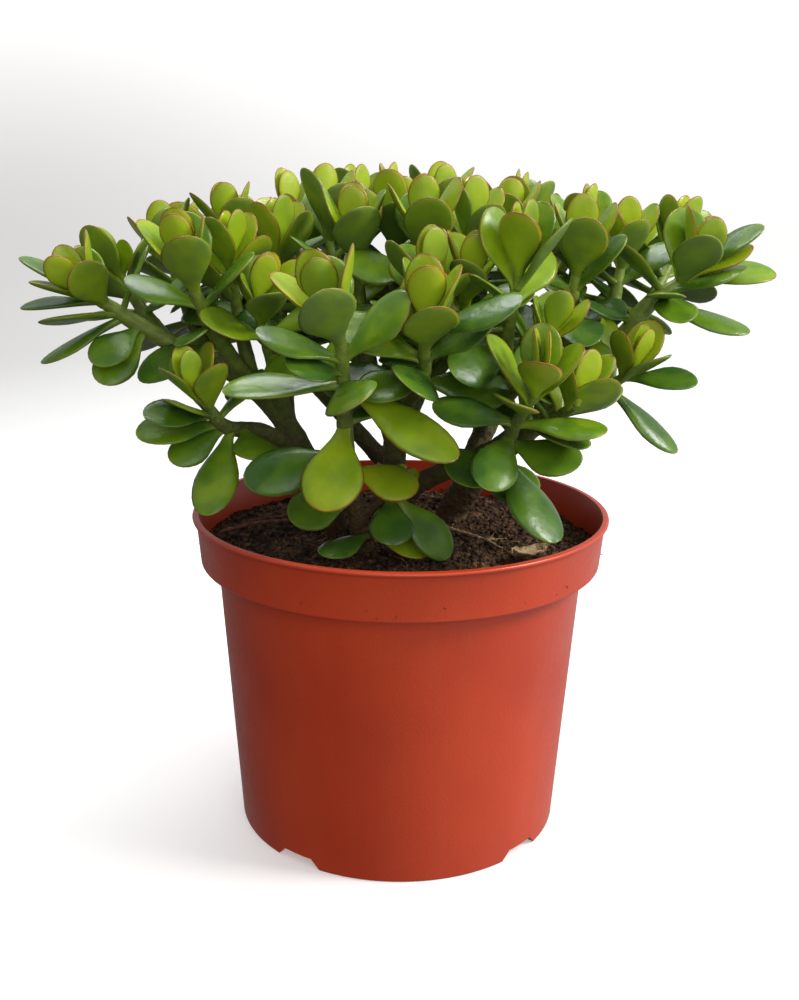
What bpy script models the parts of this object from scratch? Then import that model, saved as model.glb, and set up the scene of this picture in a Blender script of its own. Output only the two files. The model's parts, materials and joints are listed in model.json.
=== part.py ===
"""Potted jade plant: a plastic nursery pot, its soil, woody stems and leafy shoots.

Metres, +Z up, the pot's axis on Z and its foot on z = 0. The plant's front faces -Y.
Plant rows are in millimetres, for soil whose edge is ROWS_SOIL above the foot; metric()
turns them into metres and sets them on the soil as it is.
"""
import math
import random

import bpy
import bmesh
from mathutils import Matrix, Vector
from mathutils.bvhtree import BVHTree

MM = 0.001

# ---- Pot --------------------------------------------------------------------------
POT_HEIGHT = 0.164
RIM_RADIUS = 0.105          # outside of the lip
LIP_HEIGHT = 0.0022
LIP_OVERHANG = 0.002
COLLAR_HEIGHT = 0.0245
COLLAR_DRAFT = 0.0018       # how much narrower the collar is at its bottom
BODY_TOP_RADIUS = 0.0927
BODY_BASE_RADIUS = 0.083
EDGE_ROUND = 0.0012
WALL = 0.0015
FOOT_HEIGHT = 0.006
FOOT_WIDTH = 0.004
FLOOR_THICKNESS = 0.002
NOTCH_ANGLES = (-126.0, -42.0, 54.0, 138.0)
NOTCH_GROUND_WIDTH = 0.026
NOTCH_TOP_WIDTH = 0.017
DRAIN_COUNT = 8
DRAIN_RADIUS = 0.005
DRAIN_CIRCLE = 0.060
ROUND_STEPS = 40

# ---- Soil and fits ------------------------------------------------------------------
WATERING_DEPTH = 0.018      # lip down to the soil's edge
MOUND = 0.004               # the soil's middle above its edge
PLANTING_DEPTH = 0.040      # stem end below the soil's edge
ROWS_SOIL = 0.146           # height of the soil's edge that the plant rows are written for
CLEARANCE = 0.0003

# ---- Leaves ---------------------------------------------------------------------------
LEAF_THICKNESS = 0.0034
PETIOLE_WIDTH = 0.0050
WIDEST_AT = 0.62            # along the leaf
PETIOLE_SHARE = 0.06        # of the length, before the blade widens
EDGE_REACH = math.cos(math.radians(30.0))  # a leaf's section: flat on top, keeled below
LEAF_GAP = 0.0004
# For each leaf pair, youngest first: distance under the shoot's tip, then as shares or
# degrees its length, pitch from the shoot's axis, width and bend.
PAIR_DROP = (0.0, 0.0055, 0.0125, 0.021, 0.032, 0.045, 0.059)
PAIR_LENGTH = (0.78, 0.96, 1.04, 1.10, 1.14, 1.16, 1.14)
PAIR_PITCH = (9.0, 20.0, 35.0, 54.0, 72.0, 86.0, 96.0)
PAIR_WIDTH = (0.55, 0.60, 0.62, 0.61, 0.58, 0.55, 0.52)
PAIR_BEND = (7.0, 4.0, 0.0, -6.0, -14.0, -20.0, -24.0)
ROSETTE_PAIRS = 4
PAIR_TWIST = (0.0, 8.0, 16.0, 28.0, 38.0, 42.0, 42.0)
TWIST_RANGE = (-0.3, 1.0)   # share of the twist, towards the outside of the crown
PITCH_SPREAD = 6.0
ROLL_SPREAD = 8.0
LENGTH_SPREAD = 0.08
FOOT_SINK = (0.0003, 0.0009)  # how far a leaf's foot runs past its shoot's middle
# Turns tried, in order, when a leaf would touch a neighbour: pitch and sideways yaw.
DODGES = ((0, 0), (8, 0), (-8, 0), (0, 12), (0, -12), (16, 0), (-14, 0), (8, 18), (8, -18),
          (-8, 18), (-8, -18), (26, 0), (18, 24), (18, -24), (0, 28), (0, -28), (34, 0),
          (-22, 0), (28, 30), (28, -30), (-16, 30), (-16, -30))
SHRINKS = (1.0, 0.88, 0.76, 0.66)

# ---- Woody stems: x, y, z and radius in mm; the first branch is the trunk -------------
# The last stretch of a branch that carries a shoot is green and belongs to the shoot.
STEMS = {
    "stem_front": {
        "trunk": [(-17, -26, 0, 5.2), (-19, -30, 150, 5.0), (-20, -40, 169, 4.8),
                  (-24, -55, 192, 4.6)],
        "sprout_low": [(-20, -35, 159, 2.8), (-16, -42, 161, 2.6), (-13, -47, 164, 2.4)],
        "sprout_mid": [(-20, -40, 169, 3.0), (-10, -46, 180, 2.8)],
    },
    "stem_right": {
        "trunk": [(24, 32, 0, 8.4), (27, 30, 150, 8.2), (34, 22, 168, 7.8),
                  (45, 12, 186, 7.2), (58, 4, 200, 6.8), (70, 0, 212, 6.4),
                  (84, -3, 224, 6.0), (98, -5, 238, 5.8), (110, -7, 256, 5.4)],
        "rise": [(70, 0, 212, 4.6), (76, -6, 238, 4.0), (80, -10, 262, 3.6)],
        "inner": [(58, 4, 200, 4.8), (50, -16, 224, 4.4), (47, -40, 250, 3.8)],
        "inner_low": [(50, -16, 224, 3.8), (60, -34, 240, 3.2)],
        "outer_up": [(98, -5, 238, 4.2), (102, 6, 251, 3.8), (105, 14, 265, 3.4)],
        "outer_back": [(98, -5, 238, 4.4), (116, 24, 250, 4.0), (129, 38, 268, 3.4)],
        "outer_low": [(84, -3, 224, 3.8), (96, -22, 230, 3.2)],
    },
    "stem_centre": {
        "trunk": [(2, 6, 0, 6.8), (0, 2, 150, 6.6), (-4, -4, 170, 6.2), (-3, -8, 196, 5.6),
                  (2, -14, 222, 5.0), (5, -17, 250, 4.4)],
        "forward": [(2, -14, 222, 4.2), (6, -42, 232, 4.0), (9, -66, 243, 3.6)],
        "forward_up": [(6, -42, 232, 3.6), (12, -54, 256, 3.2)],
        "low_forward": [(-4, -4, 170, 5.4), (17, -23, 187, 4.8), (36, -42, 199, 4.4)],
        "low_forward_side": [(17, -23, 187, 4.0), (44, -30, 203, 3.6), (60, -50, 216, 3.2)],
        "left_rise": [(-3, -8, 196, 4.4), (-14, -8, 230, 4.0), (-20, -6, 262, 3.6)],
        "left_back": [(-14, -8, 230, 3.8), (-28, 12, 258, 3.4)],
        "right_rise": [(-3, -8, 196, 4.4), (12, 0, 232, 3.8), (24, 4, 264, 3.4)],
        "right_front": [(2, -14, 222, 4.0), (23, -30, 248, 3.2)],
        "back_rise": [(2, -14, 222, 4.0), (-3, 8, 254, 3.4)],
    },
    "stem_left": {
        "trunk": [(-30, 10, 0, 6.8), (-34, 8, 150, 6.6), (-44, 0, 180, 6.0),
                  (-56, -6, 206, 5.6), (-72, -10, 226, 5.2), (-92, -12, 240, 4.8),
                  (-112, -14, 249, 4.4), (-130, -17, 260, 4.0)],
        "low": [(-48, -2, 190, 4.4), (-66, -22, 207, 4.0), (-82, -40, 213, 3.6)],
        "front_rise": [(-72, -10, 226, 4.2), (-88, -30, 256, 3.8)],
        "rise": [(-72, -10, 226, 4.0), (-78, -10, 254, 3.4)],
        "inner": [(-56, -6, 206, 4.0), (-62, -20, 240, 3.4)],
        "back": [(-56, -6, 206, 4.0), (-60, 8, 246, 3.6)],
        "outer_back": [(-92, -12, 240, 4.0), (-106, 12, 258, 3.4)],
        "far_back": [(-112, -14, 249, 3.8), (-127, 2, 261, 3.4)],
    },
    "stem_back": {
        "trunk": [(-2, 48, 0, 7.2), (-4, 52, 150, 7.0), (-4, 60, 180, 6.4), (0, 68, 210, 5.6)],
        "left": [(-4, 56, 168, 5.0), (-40, 46, 212, 4.4), (-72, 40, 256, 3.8)],
        "left_up": [(-40, 46, 212, 4.0), (-52, 46, 260, 3.6)],
        "left_out": [(-40, 46, 212, 4.2), (-84, 62, 250, 3.8)],
        "back_left": [(0, 68, 210, 4.6), (-48, 86, 246, 4.0), (-64, 88, 264, 3.6)],
        "back_mid_left": [(-48, 86, 246, 3.8), (-45, 98, 262, 3.4)],
        "back": [(0, 68, 210, 4.6), (-2, 88, 248, 4.0)],
        "up_left": [(0, 68, 210, 4.4), (-18, 78, 256, 3.6)],
        "up_right": [(0, 68, 210, 4.4), (14, 68, 258, 3.6)],
    },
    "stem_back_right": {
        "trunk": [(30, 60, 0, 6.8), (32, 60, 150, 6.6), (44, 64, 186, 6.0), (60, 70, 216, 5.4)],
        "up": [(60, 70, 216, 4.4), (63, 78, 256, 3.6)],
        "out_back": [(60, 70, 216, 4.4), (78, 84, 248, 3.8)],
        "out": [(60, 70, 216, 4.6), (98, 72, 250, 4.0)],
        "back": [(44, 64, 186, 4.6), (44, 92, 236, 3.8)],
        "front_up": [(44, 64, 186, 4.6), (48, 46, 230, 4.0), (50, 38, 264, 3.6)],
        "out_front": [(60, 70, 216, 4.2), (82, 52, 252, 3.6)],
    },
}

# ---- Shoots ---------------------------------------------------------------------------
# name, stem, branch, points from the branch's end to the tip, lean (x, y), roll of the
# youngest pair, leaf size, pairs; then leaves placed one by one: foot on the stem, tip,
# width and twist about the leaf's own line, all in mm and degrees.
SHOOTS = [
    ("shoot_front", "stem_front", "trunk",
     [(-25, -70, 214), (-25, -84, 238), (-26, -95, 262), (-29, -100, 272)],
     (-0.32, -0.25), 0, 37, 5, [
        ((-25, -88, 248), (-46, -106, 254), 22, -30), ((-25, -86, 242), (-75, -98, 243), 23, -18),
        ((-25, -86, 242), (24, -104, 216), 24, 30), ((-25, -75, 223), (-34, -104, 192), 29, 0),
        ((-25, -66, 207), (-70, -78, 199), 24, -48), ((-25, -75, 223), (-6, -44, 228), 20, 0),
        ((-24, -60, 199), (8, -66, 192), 22, 35), ((-22, -48, 181), (-52, -56, 173), 22, -50)]),
    ("shoot_sprout_low", "stem_front", "sprout_low", [(-11, -51, 162)], (0.1, -0.3), 90, 16, 2, [
        ((-13, -46, 159), (-44, -50, 158), 17, -20), ((-13, -46, 159), (14, -52, 158), 16, 30)]),
    ("shoot_sprout_mid", "stem_front", "sprout_mid", [(-2, -50, 184)], (0.2, -0.3), 30, 20, 2, [
        ((-6, -48, 185), (-4, -68, 166), 21, 0), ((-4, -49, 187), (24, -58, 157), 19, 45)]),
    ("shoot_low_left", "stem_left", "low", [(-90, -50, 226), (-94, -54, 230)],
     (-0.15, -0.15), 40, 31, 4, [
        ((-87, -46, 219), (-116, -60, 224), 20, -30), ((-84, -42, 214), (-121, -56, 214), 20, -35),
        ((-82, -40, 212), (-106, -58, 205), 18, -40), ((-80, -38, 211), (-90, -78, 187), 22, 0),
        ((-74, -32, 209), (-62, -66, 206), 22, 0)]),
    ("shoot_left_front", "stem_left", "front_rise", [(-98, -44, 286)],
     (-0.15, -0.25), 0, 35, 6, []),
    ("shoot_far_left", "stem_left", "trunk", [(-141, -20, 268), (-150, -24, 272)],
     (-0.6, -0.3), 10, 34, 4, [
        ((-146, -22, 273), (-178, -22, 291), 17, -10), ((-143, -20, 269), (-180, -24, 268), 17, -12),
        ((-132, -18, 261), (-172, -28, 243), 18, -10), ((-125, -16, 257), (-142, -40, 243), 20, -25),
        ((-119, -15, 253), (-127, -46, 237), 21, -20)]),
    ("shoot_front_right", "stem_centre", "low_forward",
     [(46, -54, 207), (50, -80, 226), (57, -98, 244)], (0.05, -0.3), 80, 33, 6, [
        ((44, -52, 206), (70, -82, 173), 27, 0), ((44, -52, 206), (24, -78, 200), 26, -30),
        ((34, -40, 199), (62, -58, 188), 24, 30), ((47, -62, 212), (78, -80, 208), 24, 30)]),
    ("shoot_centre", "stem_centre", "forward", [(9, -84, 256), (9, -93, 268)],
     (0.0, -0.3), 0, 37, 6, [
        ((9, -90, 264), (47, -102, 283), 23, 30), ((8, -72, 247), (-16, -98, 240), 23, -20)]),
    ("shoot_far_right", "stem_right", "trunk", [(117, -8, 268), (130, -8, 278), (142, -8, 286)],
     (0.2, -0.2), 0, 35, 4, [
        ((140, -8, 288), (168, -8, 309), 21, 15), ((134, -8, 281), (179, -4, 287), 20, 30),
        ((119, -8, 270), (166, -18, 260), 20, 20), ((112, -7, 260), (82, -20, 270), 17, -20),
        ((126, -8, 275), (128, -38, 266), 21, 0), ((122, -8, 272), (120, -42, 280), 19, 0)]),
    ("shoot_right_inner", "stem_right", "inner", [(48, -52, 268), (51, -60, 292)],
     (0.1, -0.2), 60, 36, 6, []),
    ("shoot_left_rise", "stem_left", "rise", [(-82, -16, 288)], (0.1, -0.1), 60, 33, 5, []),
    ("shoot_top_left", "stem_centre", "left_rise", [(-24, -8, 298)], (0.0, -0.15), 0, 36, 6, []),
    ("shoot_top_mid", "stem_centre", "trunk", [(8, -18, 274), (9, -16, 302)],
     (0.0, -0.15), 10, 34, 6, []),
    ("shoot_right_rise", "stem_right", "rise", [(82, -18, 294)], (0.0, -0.15), 0, 34, 6, []),
    ("shoot_mid_left", "stem_left", "inner", [(-68, -34, 270)], (0.1, -0.3), 20, 33, 6, []),
    ("shoot_centre_right", "stem_centre", "right_front", [(30, -46, 282)],
     (0.1, -0.2), 0, 32, 6, []),
    ("shoot_centre_up", "stem_centre", "forward_up", [(12, -60, 282)], (0.0, -0.1), 40, 33, 5, []),
    ("shoot_front_right_b", "stem_centre", "low_forward_side", [(76, -74, 232)],
     (0.2, -0.1), 30, 34, 5, []),
    ("shoot_upper_right", "stem_right", "outer_up", [(110, 22, 294)], (0.0, -0.1), 20, 32, 6, []),
    ("shoot_outer_low", "stem_right", "outer_low", [(106, -34, 240)], (0.3, -0.3), 45, 32, 3, [
        ((97, -22, 235), (132, -36, 204), 18, 20), ((102, -29, 241), (135, -46, 240), 19, 25)]),
    ("shoot_inner_low", "stem_right", "inner_low", [(66, -50, 258)], (0.2, -0.3), 0, 30, 5, []),
    ("shoot_mid_left_back", "stem_left", "back", [(-62, 14, 292)], (0.0, 0.0), 50, 33, 6, []),
    ("shoot_left_back", "stem_left", "outer_back", [(-120, 32, 288)], (-0.2, 0.1), 20, 33, 6, []),
    ("shoot_far_left_back", "stem_left", "far_back", [(-142, 16, 280)],
     (-0.3, 0.0), 60, 32, 5, []),
    ("shoot_top_left_back", "stem_centre", "left_back", [(-40, 28, 306)],
     (0.0, 0.1), 30, 34, 6, []),
    ("shoot_top_back", "stem_centre", "back_rise", [(-6, 26, 308)], (0.0, 0.1), 70, 33, 6, []),
    ("shoot_top_right", "stem_centre", "right_rise", [(32, 6, 302)], (0.1, 0.0), 30, 33, 6, []),
    ("shoot_right_back", "stem_right", "outer_back", [(144, 54, 292)], (0.2, 0.1), 40, 34, 5, []),
    ("shoot_left_high", "stem_back", "left", [(-90, 38, 298)], (-0.1, 0.0), 10, 33, 6, []),
    ("shoot_mid_high", "stem_back", "left_up", [(-60, 50, 304)], (0.0, 0.1), 40, 33, 6, []),
    ("shoot_back_1", "stem_back", "left_out", [(-118, 76, 286)], (-0.3, 0.2), 0, 36, 6, []),
    ("shoot_back_2", "stem_back", "back_left", [(-86, 97, 288)], (-0.2, 0.3), 30, 36, 5, []),
    ("shoot_back_3", "stem_back", "back_mid_left", [(-42, 105, 290)], (0.0, 0.3), 60, 36, 5, []),
    ("shoot_back_4", "stem_back", "back", [(2, 95, 292)], (0.0, 0.3), 0, 36, 6, []),
    ("shoot_back_5", "stem_back", "up_left", [(-26, 88, 306)], (0.0, 0.1), 50, 34, 6, []),
    ("shoot_back_6", "stem_back", "up_right", [(20, 70, 308)], (0.0, 0.1), 20, 34, 6, []),
    ("shoot_back_7", "stem_back_right", "back", [(46, 101, 288)], (0.1, 0.3), 45, 36, 6, []),
    ("shoot_back_8", "stem_back_right", "out_back", [(92, 94, 288)], (0.3, 0.3), 10, 36, 6, []),
    ("shoot_back_9", "stem_back_right", "up", [(62, 84, 304)], (0.0, 0.1), 70, 34, 6, []),
    ("shoot_back_10", "stem_back_right", "out", [(128, 78, 286)], (0.3, 0.2), 30, 36, 6, []),
    ("shoot_back_11", "stem_back_right", "front_up", [(52, 34, 302)], (0.1, 0.0), 0, 33, 6, []),
    ("shoot_back_12", "stem_back_right", "out_front", [(92, 40, 298)], (0.1, 0.0), 60, 34, 6, []),
]
SHOOT_TIP_RADIUS = 0.0021
TUBE_SIDES = 8
TUBE_MARGIN = 1.05          # leaves keep clear of stems a little thicker than they are
SHOOT_GAP = 0.0010
JOIN_ATTEMPTS = 16
FOOT_NUDGE = 0.00005        # moves leaf feet a hair when a join isn't closed
JOINT_THINNING = 0.70       # share of the faces kept where leaves join their shoot
LINE_STEPS = 2

# ---- Colours: linear RGB, roughness ---------------------------------------------------------
TERRACOTTA = ((0.50, 0.075, 0.022), 0.42)
PEAT = ((0.030, 0.014, 0.007), 0.95)
BARK = ((0.120, 0.085, 0.045), 0.80)
GREEN = ((0.120, 0.240, 0.022), 0.35)


def start_scene():
    """An empty scene with a collection for the plant and one for the cutters."""
    for thing in list(bpy.data.objects):
        bpy.data.objects.remove(thing, do_unlink=True)
    groups = []
    for name in ("potted_jade_plant", "cutters"):
        group = bpy.data.collections.new(name)
        bpy.context.scene.collection.children.link(group)
        groups.append(group)
    return groups


def material(name, look):
    colour, roughness = look
    made = bpy.data.materials.new(name)
    made.use_nodes = True
    shader = made.node_tree.nodes["Principled BSDF"]
    shader.inputs["Base Color"].default_value = (*colour, 1.0)
    shader.inputs["Roughness"].default_value = roughness
    shader.inputs["Metallic"].default_value = 0.0
    made.diffuse_color = (*colour, 1.0)
    return made


def mesh_object(name, mesh, group):
    thing = bpy.data.objects.new(name, mesh)
    group.objects.link(thing)
    return thing


def as_cutter(thing):
    thing.hide_render = True
    thing.display_type = "WIRE"
    return thing


def boolean(thing, operation, tool):
    step = thing.modifiers.new(operation.title(), "BOOLEAN")
    step.operation = operation
    step.solver = "EXACT"
    if isinstance(tool, bpy.types.Collection):
        step.operand_type = "COLLECTION"
        step.collection = tool
    else:
        step.object = tool


def freeze(thing):
    """Give the object its modified mesh, welded, with the modifiers gone."""
    seen = thing.evaluated_get(bpy.context.evaluated_depsgraph_get())
    mesh = bpy.data.meshes.new_from_object(seen)
    thing.modifiers.clear()
    weld = bmesh.new()
    weld.from_mesh(mesh)
    bmesh.ops.remove_doubles(weld, verts=weld.verts, dist=0.000004)
    bmesh.ops.recalc_face_normals(weld, faces=weld.faces)
    weld.to_mesh(mesh)
    weld.free()
    mesh.name = thing.name
    thing.data = mesh
    return thing


def turned(name, profile, group, steps=ROUND_STEPS):
    """Turn a profile, from the axis down its outer side and back to the axis, about Z."""
    mesh = bpy.data.meshes.new(name)
    bm = bmesh.new()
    points = [bm.verts.new((radius, 0.0, height)) for radius, height in profile]
    for first, second in zip(points, points[1:]):
        bm.edges.new((first, second))
    bm.to_mesh(mesh)
    bm.free()
    thing = mesh_object(name, mesh, group)
    screw = thing.modifiers.new("Turn", "SCREW")
    screw.steps = steps
    screw.render_steps = steps
    screw.use_merge_vertices = True
    screw.merge_threshold = 0.00001
    screw.use_normal_calculate = True
    return freeze(thing)


def arc(centre, radius, start, end, steps=3):
    """Points of an arc in the profile's plane, angles in degrees."""
    angles = [math.radians(start + (end - start) * i / steps) for i in range(steps + 1)]
    return [(centre[0] + radius * math.cos(a), centre[1] + radius * math.sin(a)) for a in angles]


def pot_levels():
    """Heights and inside radii that both the pot and the soil follow."""
    collar_top = RIM_RADIUS - LIP_OVERHANG
    collar_bottom = collar_top - COLLAR_DRAFT
    ledge = POT_HEIGHT - COLLAR_HEIGHT
    return {
        "floor": FOOT_HEIGHT + FLOOR_THICKNESS,
        "ledge_under": ledge,
        "ledge_top": ledge + WALL,
        "inside_floor": BODY_BASE_RADIUS - FOOT_WIDTH,
        "inside_low": BODY_BASE_RADIUS - WALL + 0.0005,
        "inside_body": BODY_TOP_RADIUS - WALL,
        "inside_ledge": collar_bottom - WALL,
        "inside_rim": collar_top - WALL,
        "collar_top": collar_top,
        "collar_bottom": collar_bottom,
    }


def wall_inside(height):
    """The pot's inside radius in the collar at a height."""
    level = pot_levels()
    share = (height - level["ledge_top"]) / (POT_HEIGHT - level["ledge_top"])
    return level["inside_ledge"] + share * (level["inside_rim"] - level["inside_ledge"])


def make_pot(group, cutters):
    level = pot_levels()
    lip_under = POT_HEIGHT - LIP_HEIGHT
    lip_round = LIP_HEIGHT * 0.4
    profile = [(0.0, level["floor"])]
    profile += [(level["inside_floor"], level["floor"])]
    profile += [(level["inside_low"], level["floor"] + FOOT_WIDTH)]
    profile += [(level["inside_body"], level["ledge_top"])]
    profile += [(level["inside_ledge"], level["ledge_top"])]
    profile += [(level["inside_rim"], POT_HEIGHT)]
    profile += arc((RIM_RADIUS - lip_round, POT_HEIGHT - lip_round), lip_round, 90, 0, 2)
    profile += [(RIM_RADIUS, lip_under)]
    profile += [(level["collar_top"], lip_under)]
    corner = (level["collar_bottom"] - EDGE_ROUND, level["ledge_under"] + EDGE_ROUND)
    profile += arc(corner, EDGE_ROUND, 0, -90, 2)
    profile += [(BODY_TOP_RADIUS, level["ledge_under"])]
    profile += arc((BODY_BASE_RADIUS - EDGE_ROUND, EDGE_ROUND), EDGE_ROUND, 0, -90, 2)
    profile += [(BODY_BASE_RADIUS - FOOT_WIDTH, 0.0)]
    profile += [(BODY_BASE_RADIUS - FOOT_WIDTH, FOOT_HEIGHT)]
    profile += [(0.0, FOOT_HEIGHT)]
    pot = turned("pot", profile, group)
    for index, angle in enumerate(NOTCH_ANGLES):
        boolean(pot, "DIFFERENCE", notch_cutter(index, angle, cutters))
    for index in range(DRAIN_COUNT):
        turn = math.radians(360.0 * (index + 0.5) / DRAIN_COUNT)
        place = (DRAIN_CIRCLE * math.cos(turn), DRAIN_CIRCLE * math.sin(turn), FOOT_HEIGHT)
        bpy.ops.mesh.primitive_cylinder_add(vertices=12, radius=DRAIN_RADIUS,
                                            depth=FOOT_HEIGHT * 3, location=place)
        hole = bpy.context.object
        hole.name = f"drain_cutter_{index}"
        hole.users_collection[0].objects.unlink(hole)
        cutters.objects.link(hole)
        boolean(pot, "DIFFERENCE", as_cutter(hole))
    return freeze(pot)


def notch_cutter(index, angle, cutters):
    """A block with sloped ends that cuts one drain notch through the foot ring."""
    bm = bmesh.new()
    bmesh.ops.create_cube(bm, size=1.0)
    for vert in bm.verts:
        low = vert.co.z < 0
        width = NOTCH_GROUND_WIDTH if low else NOTCH_TOP_WIDTH
        vert.co.x *= FOOT_WIDTH * 4
        vert.co.y *= width * (1.1 if low else 1.0)
        vert.co.z = -0.001 if low else FOOT_HEIGHT - 0.0006
    turn = Matrix.Rotation(math.radians(angle), 4, "Z")
    shift = Matrix.Translation((BODY_BASE_RADIUS, 0.0, 0.0))
    bmesh.ops.transform(bm, matrix=turn @ shift, verts=bm.verts)
    mesh = bpy.data.meshes.new(f"notch_cutter_{index}")
    bm.to_mesh(mesh)
    bm.free()
    return as_cutter(mesh_object(mesh.name, mesh, cutters))


def soil_height(x, y):
    """The soil's top at a place."""
    edge = POT_HEIGHT - WATERING_DEPTH
    share = min(1.0, math.hypot(x, y) / wall_inside(edge))
    return edge + MOUND * (1.0 - share * share)


def make_soil(group, cutters, stem_rows):
    level = pot_levels()
    edge = POT_HEIGHT - WATERING_DEPTH
    edge_radius = wall_inside(edge) - CLEARANCE
    rings = [0.0, 0.25, 0.5, 0.75]
    profile = [(edge_radius * r, soil_height(edge_radius * r, 0.0)) for r in rings]
    profile += [(edge_radius, edge)]
    profile += [(level["inside_ledge"] - CLEARANCE, level["ledge_top"] + CLEARANCE)]
    profile += [(level["inside_body"] - CLEARANCE, level["ledge_top"] + CLEARANCE)]
    profile += [(level["inside_low"] - CLEARANCE, level["floor"] + FOOT_WIDTH + CLEARANCE)]
    profile += [(level["inside_floor"] - CLEARANCE, level["floor"] + CLEARANCE)]
    profile += [(0.0, level["floor"] + CLEARANCE)]
    soil = turned("soil", profile, group)
    for name, branches in stem_rows.items():
        socket = tube(f"{name}_socket", branches["trunk"][:2 * LINE_STEPS], cutters,
                      CLEARANCE * 1.3)
        boolean(soil, "DIFFERENCE", as_cutter(socket))
    return freeze(soil)


def metric(point):
    """A plant row in metres, set on the soil; a fourth value is a radius."""
    x, y, z, *radius = (value * MM for value in point)
    return (x, y, z + POT_HEIGHT - WATERING_DEPTH - ROWS_SOIL, *radius)


def planted(rows):
    """Stem rows in metres, with each trunk's foot at the planting depth."""
    stems = {}
    for name, branches in rows.items():
        stems[name] = {branch: [metric(point) for point in points]
                       for branch, points in branches.items()}
        x, y, _, radius = stems[name]["trunk"][0]
        foot = POT_HEIGHT - WATERING_DEPTH - PLANTING_DEPTH
        stems[name]["trunk"][0] = (x, y, foot, radius)
    return stems


def smooth_path(points, steps=LINE_STEPS):
    """Points of a Catmull-Rom line through rows of x, y, z and radius."""
    rows = [Vector(p) for p in points]
    rows = [rows[0] * 2 - rows[1]] + rows + [rows[-1] * 2 - rows[-2]]
    line = []
    for a, b, c, d in zip(rows, rows[1:], rows[2:], rows[3:]):
        for i in range(steps):
            t = i / steps
            pull = (c - a) * t + (a * 2 - b * 5 + c * 4 - d) * t * t
            line.append(b + (pull + (b * 3 - a - c * 3 + d) * t ** 3) * 0.5)
    line.append(rows[-2])
    return line


def tube(name, line, group, swell=0.0):
    """A closed eight-sided tube along rows of x, y, z and radius."""
    curve = bpy.data.curves.new(name, "CURVE")
    curve.dimensions = "3D"
    curve.bevel_depth = 1.0
    curve.bevel_resolution = 1
    curve.use_fill_caps = True
    spline = curve.splines.new("POLY")
    spline.points.add(len(line) - 1)
    for slot, row in zip(spline.points, line):
        slot.co = (row[0], row[1], row[2], 1.0)
        slot.radius = row[3] + swell
    if swell:
        first = Vector(line[0][:3]) - Vector(line[1][:3])
        last = Vector(line[-1][:3]) - Vector(line[-2][:3])
        spline.points[0].co.xyz += first.normalized() * swell
        spline.points[-1].co.xyz += last.normalized() * swell
    thing = bpy.data.objects.new(name, curve)
    group.objects.link(thing)
    bpy.context.view_layer.update()
    mesh = bpy.data.meshes.new_from_object(thing)
    bpy.data.objects.remove(thing, do_unlink=True)
    weld = bmesh.new()
    weld.from_mesh(mesh)
    bmesh.ops.remove_doubles(weld, verts=weld.verts, dist=0.00001)
    bmesh.ops.recalc_face_normals(weld, faces=weld.faces)
    weld.to_mesh(mesh)
    weld.free()
    return mesh_object(name, mesh, group)


def pieces_to_join(name, spare):
    """A collection for the pieces that are joined to one object."""
    pieces = bpy.data.collections.new(f"{name}_pieces")
    spare.children.link(pieces)
    return pieces


def make_stem(name, branches, group, spare):
    """Trunk and branches joined into one woody stem."""
    stem = tube(name, branches["trunk"], group)
    pieces = pieces_to_join(name, spare)
    for branch, points in branches.items():
        if branch != "trunk":
            as_cutter(tube(f"{name}_{branch}", points, pieces))
    boolean(stem, "UNION", pieces)
    return freeze(stem)


def grow_lines(stems):
    """Smooth every branch, and part each shoot's green line from its branch's wood."""
    wood = {name: {} for name in stems}
    green = {}
    carried = {(row[1], row[2]): row for row in SHOOTS}
    for stem, branches in stems.items():
        for branch, points in branches.items():
            row = carried.get((stem, branch))
            if row is None:
                wood[stem][branch] = smooth_path(points)
                continue
            last = points[-1][3]
            count = len(row[3])
            for index, point in enumerate(row[3], 1):
                radius = last + (SHOOT_TIP_RADIUS - last) * index / count
                points = points + [(*metric(point), radius)]
            line = smooth_path(points)
            stretch = len(branches[branch]) - 2
            cut = stretch * LINE_STEPS + 1
            away = (line[cut + 1].xyz - line[cut].xyz).normalized() * SHOOT_GAP
            wood[stem][branch] = line[:cut + 1]
            green[row[0]] = [Vector((*(line[cut].xyz + away), line[cut][3]))] + line[cut + 1:]
    return wood, {row[0]: green[row[0]] for row in SHOOTS}


def leaf_template():
    """The unit ball that every leaf is shaped from: four bands of three faces."""
    bm = bmesh.new()
    bmesh.ops.create_uvsphere(bm, u_segments=3, v_segments=4, radius=1.0)
    corners = [vert.co.copy() for vert in bm.verts]
    faces = [[vert.index for vert in face.verts] for face in bm.faces]
    return bm, corners, faces


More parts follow.
